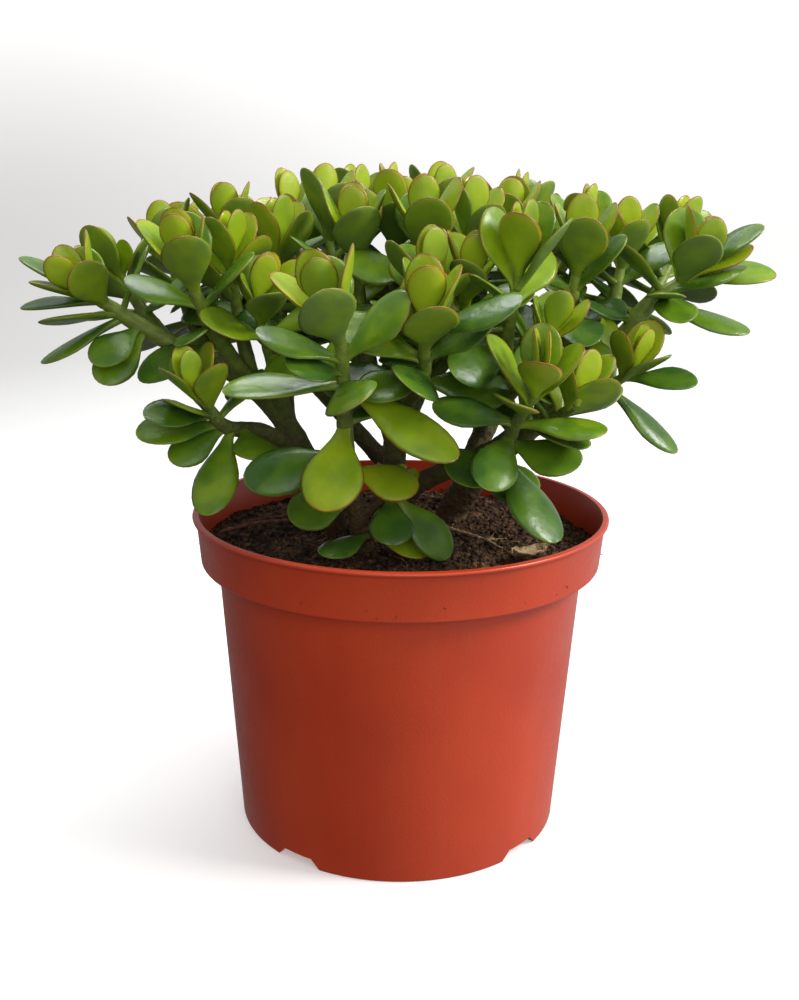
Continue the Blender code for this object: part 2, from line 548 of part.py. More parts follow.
def shape_leaf(corners, leaf, swell=0.0, start=0.0):
    """Bend and taper the unit ball into the leaf; swell adds a margin all round."""
    side = leaf["along"].cross(leaf["face"])
    bend = math.radians(leaf["bend"]) or 0.001
    points = []
    for corner in corners:
        t = start + (1.0 - start) * (1.0 - corner.z) / 2
        grow = min(1.0, max(0.0, (t - PETIOLE_SHARE) / (WIDEST_AT - PETIOLE_SHARE)))
        grow = grow * grow * (3 - 2 * grow)
        past = max(0.0, (t - WIDEST_AT) / (1.0 - WIDEST_AT))
        round_off = math.sqrt(max(0.0, 1.0 - past * past))
        half_width = (PETIOLE_WIDTH + (leaf["width"] - PETIOLE_WIDTH) * grow) / 2 * round_off
        half_thick = LEAF_THICKNESS / 2 * (0.7 + 0.3 * grow) * (0.35 + 0.65 * round_off)
        turn = bend * t
        way = leaf["along"] * math.cos(turn) + leaf["face"] * math.sin(turn)
        top = leaf["face"] * math.cos(turn) - leaf["along"] * math.sin(turn)
        point = leaf["foot"] + leaf["along"] * (leaf["length"] * math.sin(turn) / bend)
        point = point + leaf["face"] * (leaf["length"] * (1 - math.cos(turn)) / bend)
        ring = math.hypot(corner.x, corner.y)
        if ring > 0.01:
            point = point + side * (corner.x / ring / EDGE_REACH * (half_width + swell))
            point = point - top * (corner.y / ring * (half_thick + swell))
        elif t > 0.5:
            point = point + way * swell
        points.append(point)
    return points


def shoot_axis(lean):
    return Vector((lean[0], lean[1], 1.0)).normalized()


def line_point(line, drop):
    """The point on a shoot's line at a distance below its tip."""
    for low, high in zip(reversed(line[:-1]), reversed(line[1:])):
        step = (high.xyz - low.xyz).length
        if drop <= step:
            return high.xyz.lerp(low.xyz, drop / step)
        drop -= step
    return None


def nearest_on_line(line, place):
    """The point of a shoot's line that is nearest to a place."""
    best = None
    for low, high in zip(line, line[1:]):
        span = high.xyz - low.xyz
        share = (place - low.xyz).dot(span) / span.length_squared
        spot = low.xyz + span * min(1.0, max(0.0, share))
        if best is None or (spot - place).length < (best - place).length:
            best = spot
    return best


def placed_leaves(line, rows):
    """Leaves set one by one, from the shoot's line to a given tip."""
    for foot, tip, width, twist in rows:
        base = nearest_on_line(line, Vector(metric(foot)))
        reach = Vector(metric(tip)) - base
        along = reach.normalized()
        face = (Vector((0.0, 0.0, 1.0)) - along * along.z).normalized()
        face = Matrix.Rotation(math.radians(twist), 3, along) @ face
        yield {"foot": base, "along": along, "face": face, "length": reach.length,
               "width": width * MM, "bend": -8.0, "stage": 0}


def pair_leaves(name, line, lean, roll, size, pairs):
    """Opposite leaves, each pair a quarter turn from the last, opening with age."""
    chance = random.Random(name)
    axis = shoot_axis(lean)
    front = Vector((0.0, -1.0, 0.0))
    front = (front - axis * front.dot(axis)).normalized()
    right = axis.cross(front)
    scale = size * MM
    for pair in range(pairs):
        foot = line_point(line, PAIR_DROP[pair] * size / 36)
        if foot is None:
            return
        for half in (0, 180):
            turn = math.radians(roll + 90 * pair + half + chance.uniform(-1, 1) * ROLL_SPREAD)
            out = front * math.cos(turn) + right * math.sin(turn)
            pitch = math.radians(PAIR_PITCH[pair] + chance.uniform(-1, 1) * PITCH_SPREAD)
            length = scale * PAIR_LENGTH[pair] * (1 + chance.uniform(-1, 1) * LENGTH_SPREAD)
            along = axis * math.cos(pitch) + out * math.sin(pitch)
            face = axis * math.sin(pitch) - out * math.cos(pitch)
            outward = Vector((foot.x, foot.y, 0.0))
            sense = 1.0 if along.cross(face).dot(outward) > 0 else -1.0
            twist = math.radians(PAIR_TWIST[pair] * chance.uniform(*TWIST_RANGE)) * sense
            face = Matrix.Rotation(twist, 3, along) @ face
            yield {"foot": foot - along * chance.uniform(*FOOT_SINK), "along": along,
                   "face": face, "length": length,
                   "width": length * PAIR_WIDTH[pair], "bend": PAIR_BEND[pair],
                   "stage": 1 if pair < ROSETTE_PAIRS else 2}


def dodged(leaf, pitch, yaw, shrink):
    """The same leaf turned a little on its foot, and made a little smaller."""
    side = leaf["along"].cross(leaf["face"])
    turn = Matrix.Rotation(math.radians(yaw), 3, leaf["face"])
    turn = turn @ Matrix.Rotation(math.radians(-pitch), 3, side)
    return dict(leaf, along=turn @ leaf["along"], face=turn @ leaf["face"],
                length=leaf["length"] * shrink, width=leaf["width"] * shrink)


def clear_of_pot(points):
    """Whether a leaf's points stay above the soil and off the pot's rim."""
    for point in points:
        radius = math.hypot(point.x, point.y)
        if radius < RIM_RADIUS + 0.003:
            near_wall = radius > wall_inside(POT_HEIGHT) - 0.004
            floor = POT_HEIGHT + 0.002 if near_wall else soil_height(point.x, point.y) + 0.001
            if point.z < floor:
                return False
    return True


def tree_of(points, faces):
    return BVHTree.FromPolygons(points, faces)


def line_mesh(lines):
    """Points and faces of eight-sided tubes round some lines, for testing what touches."""
    points, faces = [], []
    for line in lines:
        first = len(points)
        for index, row in enumerate(line):
            way = line[min(index + 1, len(line) - 1)].xyz - line[max(index - 1, 0)].xyz
            turn = way.to_track_quat("Z", "Y")
            for side in range(TUBE_SIDES):
                angle = 2 * math.pi * side / TUBE_SIDES
                reach = Vector((math.cos(angle), math.sin(angle), 0.0)) * row[3] * TUBE_MARGIN
                points.append(row.xyz + turn @ reach)
        for index in range(len(line) - 1):
            low = first + index * TUBE_SIDES
            for side in range(TUBE_SIDES):
                after = (side + 1) % TUBE_SIDES
                faces.append([low + side, low + after, low + TUBE_SIDES + after,
                              low + TUBE_SIDES + side])
        last = len(points) - TUBE_SIDES
        faces.append([first + side for side in reversed(range(TUBE_SIDES))])
        faces.append([last + side for side in range(TUBE_SIDES)])
    return points, faces


def grow_leaves(lines, line_trees, rows, corners, faces):
    """Settle every leaf in a place where it touches no other shoot, stem or pot."""
    settled = []
    leaves = {row[0]: [] for row in rows}
    dropped = 0
    wanted = []
    for row in rows:
        wanted += [(row[0], leaf) for leaf in placed_leaves(lines[row[0]], row[8])]
    for name, _, _, _, lean, roll, size, pairs, _ in rows:
        pair_rows = pair_leaves(name, lines[name], lean, roll, size, pairs)
        wanted += [(name, leaf) for leaf in pair_rows]
    wanted.sort(key=lambda item: item[1]["stage"])
    for name, leaf in wanted:
        for shrink, (pitch, yaw) in ((s, d) for s in SHRINKS for d in DODGES):
            tried = dodged(leaf, pitch, yaw, shrink)
            points = shape_leaf(corners, tried, LEAF_GAP)
            if not clear_of_pot(points):
                continue
            tree = tree_of(points, faces)
            if any(tree.overlap(other) for own, other in line_trees.items() if own != name):
                continue
            middle = sum(points, Vector()) / len(points)
            reach = max((point - middle).length for point in points)
            blade = tree_of(shape_leaf(corners, tried, 0.0, 0.3), faces)
            if touches(name, middle, reach, tree, blade, settled):
                continue
            whole = tree_of(shape_leaf(corners, tried), faces)
            settled.append((name, middle, reach, whole, blade))
            leaves[name].append(tried)
            break
        else:
            dropped += 1
    print(f"{len(settled)} leaves settled, {dropped} left out")
    return leaves


def touches(name, middle, reach, tree, blade, settled):
    for other, centre, radius, whole, other_blade in settled:
        if (centre - middle).length > reach + radius:
            continue
        if other == name:
            if blade.overlap(other_blade):
                return True
        elif tree.overlap(whole):
            return True
    return False


def leaf_object(name, leaf, template, corners, group):
    bm = template.copy()
    for vert, point in zip(bm.verts, shape_leaf(corners, leaf)):
        vert.co = point
    bmesh.ops.recalc_face_normals(bm, faces=bm.faces)
    mesh = bpy.data.meshes.new(name)
    bm.to_mesh(mesh)
    bm.free()
    return as_cutter(mesh_object(name, mesh, group))


def keep_outer_skin(thing):
    """Fill the small sealed pockets between leaf feet by leaving out their walls."""
    bm = bmesh.new()
    bm.from_mesh(thing.data)
    left = set(bm.faces)
    skins = []
    while left:
        skin = {left.pop()}
        edge_of_skin = list(skin)
        while edge_of_skin:
            face = edge_of_skin.pop()
            near = {other for edge in face.edges for other in edge.link_faces} & left
            left -= near
            skin |= near
            edge_of_skin += near
        skins.append(skin)
    skins.sort(key=len)
    pockets = [face for skin in skins[:-1] for face in skin]
    bmesh.ops.delete(bm, geom=pockets, context="FACES")
    bm.to_mesh(thing.data)
    bm.free()


def is_closed(mesh):
    bm = bmesh.new()
    bm.from_mesh(mesh)
    closed = all(edge.is_manifold for edge in bm.edges)
    bm.free()
    return closed


def make_shoot(thing, leaves, template, corners, spare):
    """Join a shoot's leaves to its green stem as one body."""
    stem = thing.data
    for attempt in range(JOIN_ATTEMPTS):
        pieces = pieces_to_join(f"{thing.name}_{attempt}", spare)
        for index, leaf in enumerate(leaves):
            nudge = FOOT_NUDGE * attempt * (1 + index % 3)
            nudged = dict(leaf, foot=leaf["foot"] - leaf["along"] * nudge)
            leaf_object(f"{thing.name}_leaf_{index}", nudged, template, corners, pieces)
        thing.data = stem
        boolean(thing, "UNION", pieces)
        thin = thing.modifiers.new("Thin", "DECIMATE")
        thin.ratio = JOINT_THINNING
        freeze(thing)
        keep_outer_skin(thing)
        if is_closed(thing.data):
            return thing
    print(f"{thing.name} isn't closed")
    return thing


def colour(things, made):
    for thing in things:
        thing.data.materials.clear()
        thing.data.materials.append(made)


def main():
    group, cutters = start_scene()
    wood, lines = grow_lines(planted(STEMS))
    pot = make_pot(group, cutters)
    soil = make_soil(group, cutters, wood)
    woody = [make_stem(name, branches, group, cutters) for name, branches in wood.items()]
    shoots = {name: tube(name, line, group) for name, line in lines.items()}
    trees = {name: tree_of(*line_mesh(branches.values())) for name, branches in wood.items()}
    trees.update({name: tree_of(*line_mesh([line])) for name, line in lines.items()})
    template, corners, faces = leaf_template()
    leaves = grow_leaves(lines, trees, SHOOTS, corners, faces)
    for name, thing in shoots.items():
        make_shoot(thing, leaves[name], template, corners, cutters)
    colour([pot], material("terracotta_plastic", TERRACOTTA))
    colour([soil], material("peat_soil", PEAT))
    colour(woody, material("jade_bark", BARK))
    colour(shoots.values(), material("jade_leaf", GREEN))


main()
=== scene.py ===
# %% [markdown]
# # A potted jade plant
# The plant stands in a plastic nursery pot: pot, soil, six woody stems, and leafy shoots.
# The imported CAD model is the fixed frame: it says where the pot, the soil and each shoot
# are. Here every piece gets a finer surface and its finish, in metres, with +Z up.

# %% Load the frame
import json
import math
import random

import bmesh
import bpy
from mathutils import Matrix, Vector, noise
from mathutils.bvhtree import BVHTree

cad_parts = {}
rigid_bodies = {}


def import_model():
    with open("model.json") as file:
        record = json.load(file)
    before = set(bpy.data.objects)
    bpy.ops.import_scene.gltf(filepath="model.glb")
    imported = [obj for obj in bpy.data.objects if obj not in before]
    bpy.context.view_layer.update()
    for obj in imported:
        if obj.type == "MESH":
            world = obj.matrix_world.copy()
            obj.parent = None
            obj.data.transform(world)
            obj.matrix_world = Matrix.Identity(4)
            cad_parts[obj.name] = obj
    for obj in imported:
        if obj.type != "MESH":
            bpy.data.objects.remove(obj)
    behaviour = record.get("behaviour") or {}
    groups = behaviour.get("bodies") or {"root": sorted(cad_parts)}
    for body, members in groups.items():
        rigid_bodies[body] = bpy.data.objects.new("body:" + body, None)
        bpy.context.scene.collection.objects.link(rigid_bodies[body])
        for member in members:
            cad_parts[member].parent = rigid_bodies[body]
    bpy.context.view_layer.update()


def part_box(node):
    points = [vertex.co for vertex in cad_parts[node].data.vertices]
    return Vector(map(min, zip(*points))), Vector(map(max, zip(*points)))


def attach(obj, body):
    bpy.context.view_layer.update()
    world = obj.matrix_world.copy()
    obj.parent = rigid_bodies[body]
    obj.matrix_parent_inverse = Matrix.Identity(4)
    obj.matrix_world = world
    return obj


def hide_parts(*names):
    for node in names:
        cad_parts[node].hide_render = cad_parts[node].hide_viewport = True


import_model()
scene = bpy.context.scene
MM = 0.001


# %% [markdown]
# Node trees are written as text here, so two small helpers keep them readable. One adds
# a node, sets its properties and feeds its inputs, from a socket or from a plain value.
# The other opens a group with named inputs, which a modifier or a material can then set.

# %% Helpers for node trees
def add(tree, kind, feed=None, **settings):
    """A node with its properties set and its inputs fed by sockets or plain values."""
    made = tree.nodes.new(kind)
    for key, value in settings.items():
        setattr(made, key, value)
    for socket, source in (feed or {}).items():
        target = made.inputs[socket]
        if isinstance(source, bpy.types.NodeSocket):
            tree.links.new(source, target)
        else:
            target.default_value = source
    return made


def open_group(name, kind, inputs, outputs):
    """A node group with named sockets, its input node and its output node."""
    tree = bpy.data.node_groups.new(name, kind)
    for title, sort in outputs:
        tree.interface.new_socket(title, in_out="OUTPUT", socket_type=f"NodeSocket{sort}")
    for title, sort, value in inputs:
        socket = tree.interface.new_socket(title, in_out="INPUT", socket_type=f"NodeSocket{sort}")
        if value is not None:
            socket.default_value = value
    return tree, tree.nodes.new("NodeGroupInput"), tree.nodes.new("NodeGroupOutput")


def maths(tree, operation, first, second=0.0, clamp=False):
    """The result of one Math node."""
    made = add(tree, "ShaderNodeMath", {0: first, 1: second}, operation=operation,
               use_clamp=clamp)
    return made.outputs[0]


def span(tree, value, low, high, out_low=0.0, out_high=1.0):
    """A smooth step of a value from one range to another."""
    made = add(tree, "ShaderNodeMapRange", {"Value": value, "From Min": low, "From Max": high,
               "To Min": out_low, "To Max": out_high}, interpolation_type="SMOOTHSTEP")
    return made.outputs[0]


def mixed(tree, share, first, second):
    """Two colours mixed by a share."""
    made = tree.nodes.new("ShaderNodeMix")
    made.data_type = "RGBA"
    for socket, source in ((0, share), (6, first), (7, second)):
        if isinstance(source, bpy.types.NodeSocket):
            tree.links.new(source, made.inputs[socket])
        else:
            made.inputs[socket].default_value = source
    return made.outputs[2]


def coated(tree, geometry, given, out):
    """End a tree with real mesh that carries the finish it was given."""
    real = add(tree, "GeometryNodeRealizeInstances", {"Geometry": geometry})
    finished = add(tree, "GeometryNodeSetMaterial", {"Geometry": real.outputs["Geometry"],
                   "Material": given.outputs["Finish"]})
    tree.links.new(finished.outputs["Geometry"], out.inputs["Geometry"])
    return tree


def ramp(tree, value, stops):
    """A colour ramp through (position, linear colour) stops."""
    made = add(tree, "ShaderNodeValToRGB", {"Fac": value})
    bar = made.color_ramp.elements
    while len(bar) < len(stops):
        bar.new(0.5)
    for stop, (place, colour) in zip(bar, stops):
        stop.position = place
        stop.color = (*colour, 1.0)
    return made.outputs["Color"]


# %% [markdown]
# A mesh can be finished by modifiers or by a node tree. Both are then turned into a plain
# mesh, so that the model holds the shape itself. `settle` does that.

# %% Helpers for pieces
def shown(name, data):
    """A new object in the scene."""
    thing = bpy.data.objects.new(name, data)
    scene.collection.objects.link(thing)
    return thing


def poured(bm, name):
    """A new mesh that holds what was built in a bmesh."""
    mesh = bpy.data.meshes.new(name)
    bm.to_mesh(mesh)
    bm.free()
    return mesh


def settle(thing):
    """The object as a plain mesh, its modifiers or node tree worked in."""
    seen = thing.evaluated_get(bpy.context.evaluated_depsgraph_get())
    mesh = bpy.data.meshes.new_from_object(seen)
    name = thing.name
    bpy.data.objects.remove(thing, do_unlink=True)
    mesh.name = name
    return shown(name, mesh)


def grown(thing, tree, values):
    """Run a node tree on an object with these named inputs, and keep the plain mesh."""
    step = thing.modifiers.new(tree.name, "NODES")
    step.node_group = tree
    for item in tree.interface.items_tree:
        if item.item_type == "SOCKET" and item.in_out == "INPUT" and item.name in values:
            step[item.identifier] = values[item.name]
    return settle(thing)


def placed(thing, slot, *nodes):
    """Ride the frame and stand for its CAD nodes; the slot is not used."""
    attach(thing, "root")
    if nodes:
        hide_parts(*nodes)
    print(f"{thing.name}: {len(thing.data.polygons)} faces")
    return thing


def material(name, roughness=0.5, **values):
    """A Principled material: its tree, its shader and itself."""
    made = bpy.data.materials.new(name)
    made.use_nodes = True
    shader = made.node_tree.nodes["Principled BSDF"]
    shader.inputs["Roughness"].default_value = roughness
    for key, value in values.items():
        shader.inputs[key.replace("_", " ")].default_value = value
    return made, made.node_tree, shader


# %% [markdown]
# ## Floor, light and camera
# Photographers shoot such a plant in a white sweep: a floor that curves up to a wall, so
# that no horizon shows. The floor here is flat under the pot and curves up all round, so
# every camera angle sees it. Its colour carries painted shade, darker towards the left, and
# it glows with painted light, more up the wall and least on the left, so that side is
# greyer. It throws no light on the plant: the sky and the lamps do that.

# %% The white sweep
SWEEP_FLAT = 1.6        # radius of the flat floor
SWEEP_CURVE = 0.9
SWEEP_TOP = 1.7
SWEEP_STEPS = 14
SWEEP_TURNS = 96


def make_sweep():
    profile = [(0.0, 0.0), (SWEEP_FLAT, 0.0)]
    for step in range(1, SWEEP_STEPS + 1):
        turn = math.pi / 2 * step / SWEEP_STEPS
        profile.append((SWEEP_FLAT + SWEEP_CURVE * math.sin(turn),
                        SWEEP_CURVE * (1 - math.cos(turn))))
    profile.append((SWEEP_FLAT + SWEEP_CURVE, SWEEP_TOP))
    mesh = bpy.data.meshes.new("sweep")
    count = len(profile)
    mesh.from_pydata([(r, 0.0, z) for r, z in profile], [(i, i + 1) for i in range(count - 1)], [])
    sweep = shown("sweep", mesh)
    turn = sweep.modifiers.new("Turn", "SCREW")
    turn.steps = turn.render_steps = SWEEP_TURNS
    turn.merge_threshold = 0.0001
    turn.use_merge_vertices = True
    sweep = settle(sweep)
    sweep.data.shade_smooth()
    white, tree, shader = material("sweep_white", 0.8, Specular_IOR_Level=0.0)
    shader.inputs["Emission Color"].default_value = (1.0, 0.99, 0.975, 1.0)
    place = tree.nodes.new("ShaderNodeTexCoord")
    parts = add(tree, "ShaderNodeSeparateXYZ", {0: place.outputs["Object"]})
    # Painted shade: the sweep's colour is darker towards the left.
    base = mixed(tree, span(tree, parts.outputs["X"], -0.9, 0.1), (0.66, 0.65, 0.635, 1.0),
                 (0.78, 0.775, 0.77, 1.0))
    tree.links.new(base, shader.inputs["Base Color"])
    # Painted light: the sweep glows, more up the wall and least on the left.
    glow = maths(tree, "ADD", span(tree, parts.outputs["X"], -1.0, 0.7, 0.12, 0.40),
                 span(tree, parts.outputs["Z"], 0.1, 1.0, 0.0, 0.75))
    tree.links.new(glow, shader.inputs["Emission Strength"])
    sweep.data.materials.append(white)
    sweep.visible_diffuse = False
    sweep.visible_glossy = False
    return sweep


sweep = make_sweep()

# %% [markdown]
# The sky is a soft studio: bright above and to the right, dim below and behind the camera,
# so that round things show their form. A broad lamp high on the right gives the shape,
# one above and behind puts the white sheen on the leaves, and a weak one in front fills
# the shadows.

# %% Light
def lamp(name, place, aim, size, power, colour):
    light = bpy.data.lights.new(name, "AREA")
    light.shape = "DISK"
    light.size = size
    light.energy = power
    light.color = colour
    thing = shown(name, light)
    away = Vector(place) - Vector(aim)
    turn = away.to_track_quat("Z", "Y").to_matrix().to_4x4()
    thing.matrix_world = Matrix.Translation(place) @ turn
    return thing


def make_sky():
    """A world whose brightness leans to one side."""
    sky = bpy.data.worlds.new("studio_sky")
    sky.use_nodes = True
    tree = sky.node_tree
    way = tree.nodes.new("ShaderNodeTexCoord")
    lean = add(tree, "ShaderNodeVectorMath", {0: way.outputs["Generated"], 1: SKY_LEAN},
               operation="DOT_PRODUCT")
    level = maths(tree, "MAXIMUM", maths(tree, "ADD", lean.outputs["Value"], SKY_LEVEL), SKY_LEAST)
    back = tree.nodes["Background"]
    back.inputs["Color"].default_value = (0.97, 0.98, 1.0, 1.0)
    tree.links.new(level, back.inputs["Strength"])
    return sky


SKY_LEVEL = 0.50
SKY_LEAST = 0.12
SKY_LEAN = (0.30, 0.06, 0.30)
MIDDLE = (0.0, 0.0, 0.2)
scene.world = make_sky()
lamp("key_light", (1.1, -0.25, 1.0), MIDDLE, 0.5, 17.0, (1.0, 0.985, 0.95))
lamp("top_light", (-0.15, 0.45, 1.35), MIDDLE, 0.7, 11.0, (0.97, 0.99, 1.0))
lamp("fill_light", (0.2, -1.2, 0.7), MIDDLE, 0.9, 4.5, (1.0, 0.98, 0.93))
scene.view_settings.view_transform = "Standard"

# %% [markdown]
# The camera stands just over half a metre in front of the pot, a little above the leaves,
# and looks down by about fifteen degrees, so the rim shows as an ellipse with soil in it.

# %% Camera
CAMERA_PLACE = (-0.0007, -0.598, 0.3327)
CAMERA_TILT = 74.58
CAMERA_ROLL = 0.68
CAMERA_LENS = 43.86

view = bpy.data.cameras.new("camera")
view.lens = CAMERA_LENS
view.sensor_width = 36.0
camera = shown("camera", view)
camera.matrix_world = (Matrix.Translation(CAMERA_PLACE)
                       @ Matrix.Rotation(math.radians(CAMERA_TILT), 4, "X")
                       @ Matrix.Rotation(math.radians(CAMERA_ROLL), 4, "Z"))
scene.camera = camera


# %% [markdown]
# ## Effects that several finishes share
# Nothing on a plant or a moulded pot is one even colour. `Patches` gives a slow change
# between two values, and `Specks` a mask of scattered dots. Each is built once, and every
# material places it with its own sizes.

# %% Shared shader groups
def make_patches():
    tree, given, out = open_group("Patches", "ShaderNodeTree",
                                  [("Scale", "Float", 40.0), ("Detail", "Float", 2.0),
                                   ("Low", "Float", 0.0), ("High", "Float", 1.0)],
                                  [("Value", "Float")])
    place = tree.nodes.new("ShaderNodeTexCoord")
    cloud = add(tree, "ShaderNodeTexNoise", {"Vector": place.outputs["Object"],
                "Scale": given.outputs["Scale"], "Detail": given.outputs["Detail"]})
    value = span(tree, cloud.outputs["Fac"], 0.3, 0.7, given.outputs["Low"],
                 given.outputs["High"])
    tree.links.new(value, out.inputs["Value"])
    return tree


def make_specks():
    tree, given, out = open_group("Specks", "ShaderNodeTree",
                                  [("Scale", "Float", 900.0), ("Size", "Float", 0.2)],
                                  [("Mask", "Float")])
    place = tree.nodes.new("ShaderNodeTexCoord")
    cells = add(tree, "ShaderNodeTexVoronoi", {"Vector": place.outputs["Object"],
                "Scale": given.outputs["Scale"]})
    near = maths(tree, "SUBTRACT", given.outputs["Size"], cells.outputs["Distance"])
    mask = maths(tree, "DIVIDE", near, given.outputs["Size"], clamp=True)
    tree.links.new(mask, out.inputs["Mask"])
    return tree


PATCHES = make_patches()
SPECKS = make_specks()


def patches(tree, scale, low=0.0, high=1.0, detail=2.0):
    made = add(tree, "ShaderNodeGroup", node_tree=PATCHES)
    for key, value in (("Scale", scale), ("Detail", detail), ("Low", low), ("High", high)):
        made.inputs[key].default_value = value
    return made.outputs["Value"]


def specks(tree, scale, size):
    made = add(tree, "ShaderNodeGroup", node_tree=SPECKS)
    made.inputs["Scale"].default_value = scale
    made.inputs["Size"].default_value = size
    return made.outputs["Mask"]


def bump(tree, shader, height, distance):
    """Feed a height in metres times distance to the shader's Normal."""
    made = add(tree, "ShaderNodeBump", {"Height": height, "Distance": distance,
               "Strength": 1.0})
    tree.links.new(made.outputs["Normal"], shader.inputs["Normal"])


print("groups:", PATCHES.name, SPECKS.name)


# %% [markdown]
# ## The pot
# A nursery pot is one thin moulding: a tapered body, a ledge, a wider collar and a small
# lip, with notches in its foot so that water can leave. It is a turned shape, so a Screw
# modifier on its profile makes it, with 160 steps for a smooth silhouette. The notches
# and the drain holes are cut with Booleans.

# %% Sizes of the pot
pot_low, pot_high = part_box("pot")
POT_HEIGHT = pot_high.z
RIM_RADIUS = (pot_high.x - pot_low.x) / 2
LIP_HEIGHT = 0.0022
LIP_OVERHANG = 0.002
COLLAR_HEIGHT = 0.0245
COLLAR_DRAFT = 0.0018
BODY_TOP_RADIUS = 0.0927
BODY_BASE_RADIUS = 0.083
EDGE_ROUND = 0.0012
WALL = 0.0015
FOOT_HEIGHT = 0.006
FOOT_WIDTH = 0.004
FLOOR_THICKNESS = 0.002
FLOOR_ROUND = 0.0045        # where the wall meets the floor, inside
FLOOR_MARGIN = 0.002
NOTCH_ANGLES = (-126.0, -42.0, 54.0, 138.0)
NOTCH_GROUND_WIDTH = 0.026
NOTCH_TOP_WIDTH = 0.017
DRAIN_COUNT = 8
DRAIN_RADIUS = 0.005
DRAIN_CIRCLE = 0.060
POT_STEPS = 160

COLLAR_TOP = RIM_RADIUS - LIP_OVERHANG
COLLAR_BOTTOM = COLLAR_TOP - COLLAR_DRAFT
LEDGE = POT_HEIGHT - COLLAR_HEIGHT
FLOOR_TOP = FOOT_HEIGHT + FLOOR_THICKNESS
print(f"pot {POT_HEIGHT * 1000:.1f} mm high, {RIM_RADIUS * 2000:.1f} mm across its lip")


# %% The turned shell
def arc(centre, radius, start, end, steps=5):
    """Points of an arc in the profile's plane, angles in degrees."""
    angles = [math.radians(start + (end - start) * i / steps) for i in range(steps + 1)]
    return [(centre[0] + radius * math.cos(a), centre[1] + radius * math.sin(a)) for a in angles]


SAME_PLACE = 0.000004       # points this close are one


def turned(name, profile, steps):
    """A profile, from the axis down its outer side and back to the axis, turned about Z."""
    mesh = bpy.data.meshes.new(name)
    rows = [(radius, 0.0, height) for radius, height in profile]
    mesh.from_pydata(rows, [(i, i + 1) for i in range(len(rows) - 1)], [])
    thing = shown(name, mesh)
    screw = thing.modifiers.new("Turn", "SCREW")
    screw.steps = screw.render_steps = steps
    screw.use_merge_vertices = True
    screw.merge_threshold = 0.00001
    screw.use_normal_calculate = True
    thing = settle(thing)
    bm = bmesh.new()
    bm.from_mesh(thing.data)
    bmesh.ops.remove_doubles(bm, verts=bm.verts, dist=SAME_PLACE)
    bmesh.ops.recalc_face_normals(bm, faces=bm.faces)
    bm.to_mesh(thing.data)
    bm.free()
    return thing


def pot_profile():
    lip = LIP_HEIGHT / 2
    flat = BODY_BASE_RADIUS - FOOT_WIDTH - FLOOR_MARGIN
    points = [(0.0, FLOOR_TOP), (flat, FLOOR_TOP)]
    points += arc((flat, FLOOR_TOP + FLOOR_ROUND), FLOOR_ROUND, -90, -6)
    points += [(BODY_TOP_RADIUS - WALL, LEDGE + WALL - 0.0006)]
    points += [(BODY_TOP_RADIUS - WALL + 0.0008, LEDGE + WALL)]
    points += [(COLLAR_BOTTOM - WALL - 0.001, LEDGE + WALL),
               (COLLAR_BOTTOM - WALL, LEDGE + WALL + 0.001)]
    points += [(COLLAR_TOP - WALL, POT_HEIGHT - 0.0006), (COLLAR_TOP - WALL + 0.0005, POT_HEIGHT)]
    points += arc((RIM_RADIUS - lip, POT_HEIGHT - lip), lip, 90, -60)
    points += [(COLLAR_TOP + 0.0004, POT_HEIGHT - LIP_HEIGHT - 0.0003)]
    points += [(COLLAR_TOP, POT_HEIGHT - LIP_HEIGHT - 0.0012)]
    points += arc((COLLAR_BOTTOM - EDGE_ROUND, LEDGE + EDGE_ROUND), EDGE_ROUND, 0, -90)
    points += arc((BODY_TOP_RADIUS + EDGE_ROUND, LEDGE - EDGE_ROUND), EDGE_ROUND, 90, 175)
    points += arc((BODY_BASE_RADIUS - EDGE_ROUND, EDGE_ROUND), EDGE_ROUND, 0, -90)
    points += [(BODY_BASE_RADIUS - FOOT_WIDTH, 0.0), (BODY_BASE_RADIUS - FOOT_WIDTH, FOOT_HEIGHT)]
    return points + [(0.0, FOOT_HEIGHT)]


# %% Notches and drain holes
def cut(thing, cutter):
    """One exact cut, worked into the mesh."""
    step = thing.modifiers.new("Cut", "BOOLEAN")
    step.operation = "DIFFERENCE"
    step.solver = "EXACT"
    step.operand_type = "COLLECTION"
    step.collection = cutter


def block(name, low_width, high_width, place):
    """A cutter with sloped ends, across the foot ring."""
    bm = bmesh.new()
    bmesh.ops.create_cube(bm, size=1.0)
    for vert in bm.verts:
        low = vert.co.z < 0
        vert.co.x *= FOOT_WIDTH * 4
        vert.co.y *= low_width * 1.1 if low else high_width
        vert.co.z = -0.001 if low else FOOT_HEIGHT - 0.0006
    bmesh.ops.transform(bm, matrix=place, verts=bm.verts)
    return bpy.data.objects.new(name, poured(bm, name))


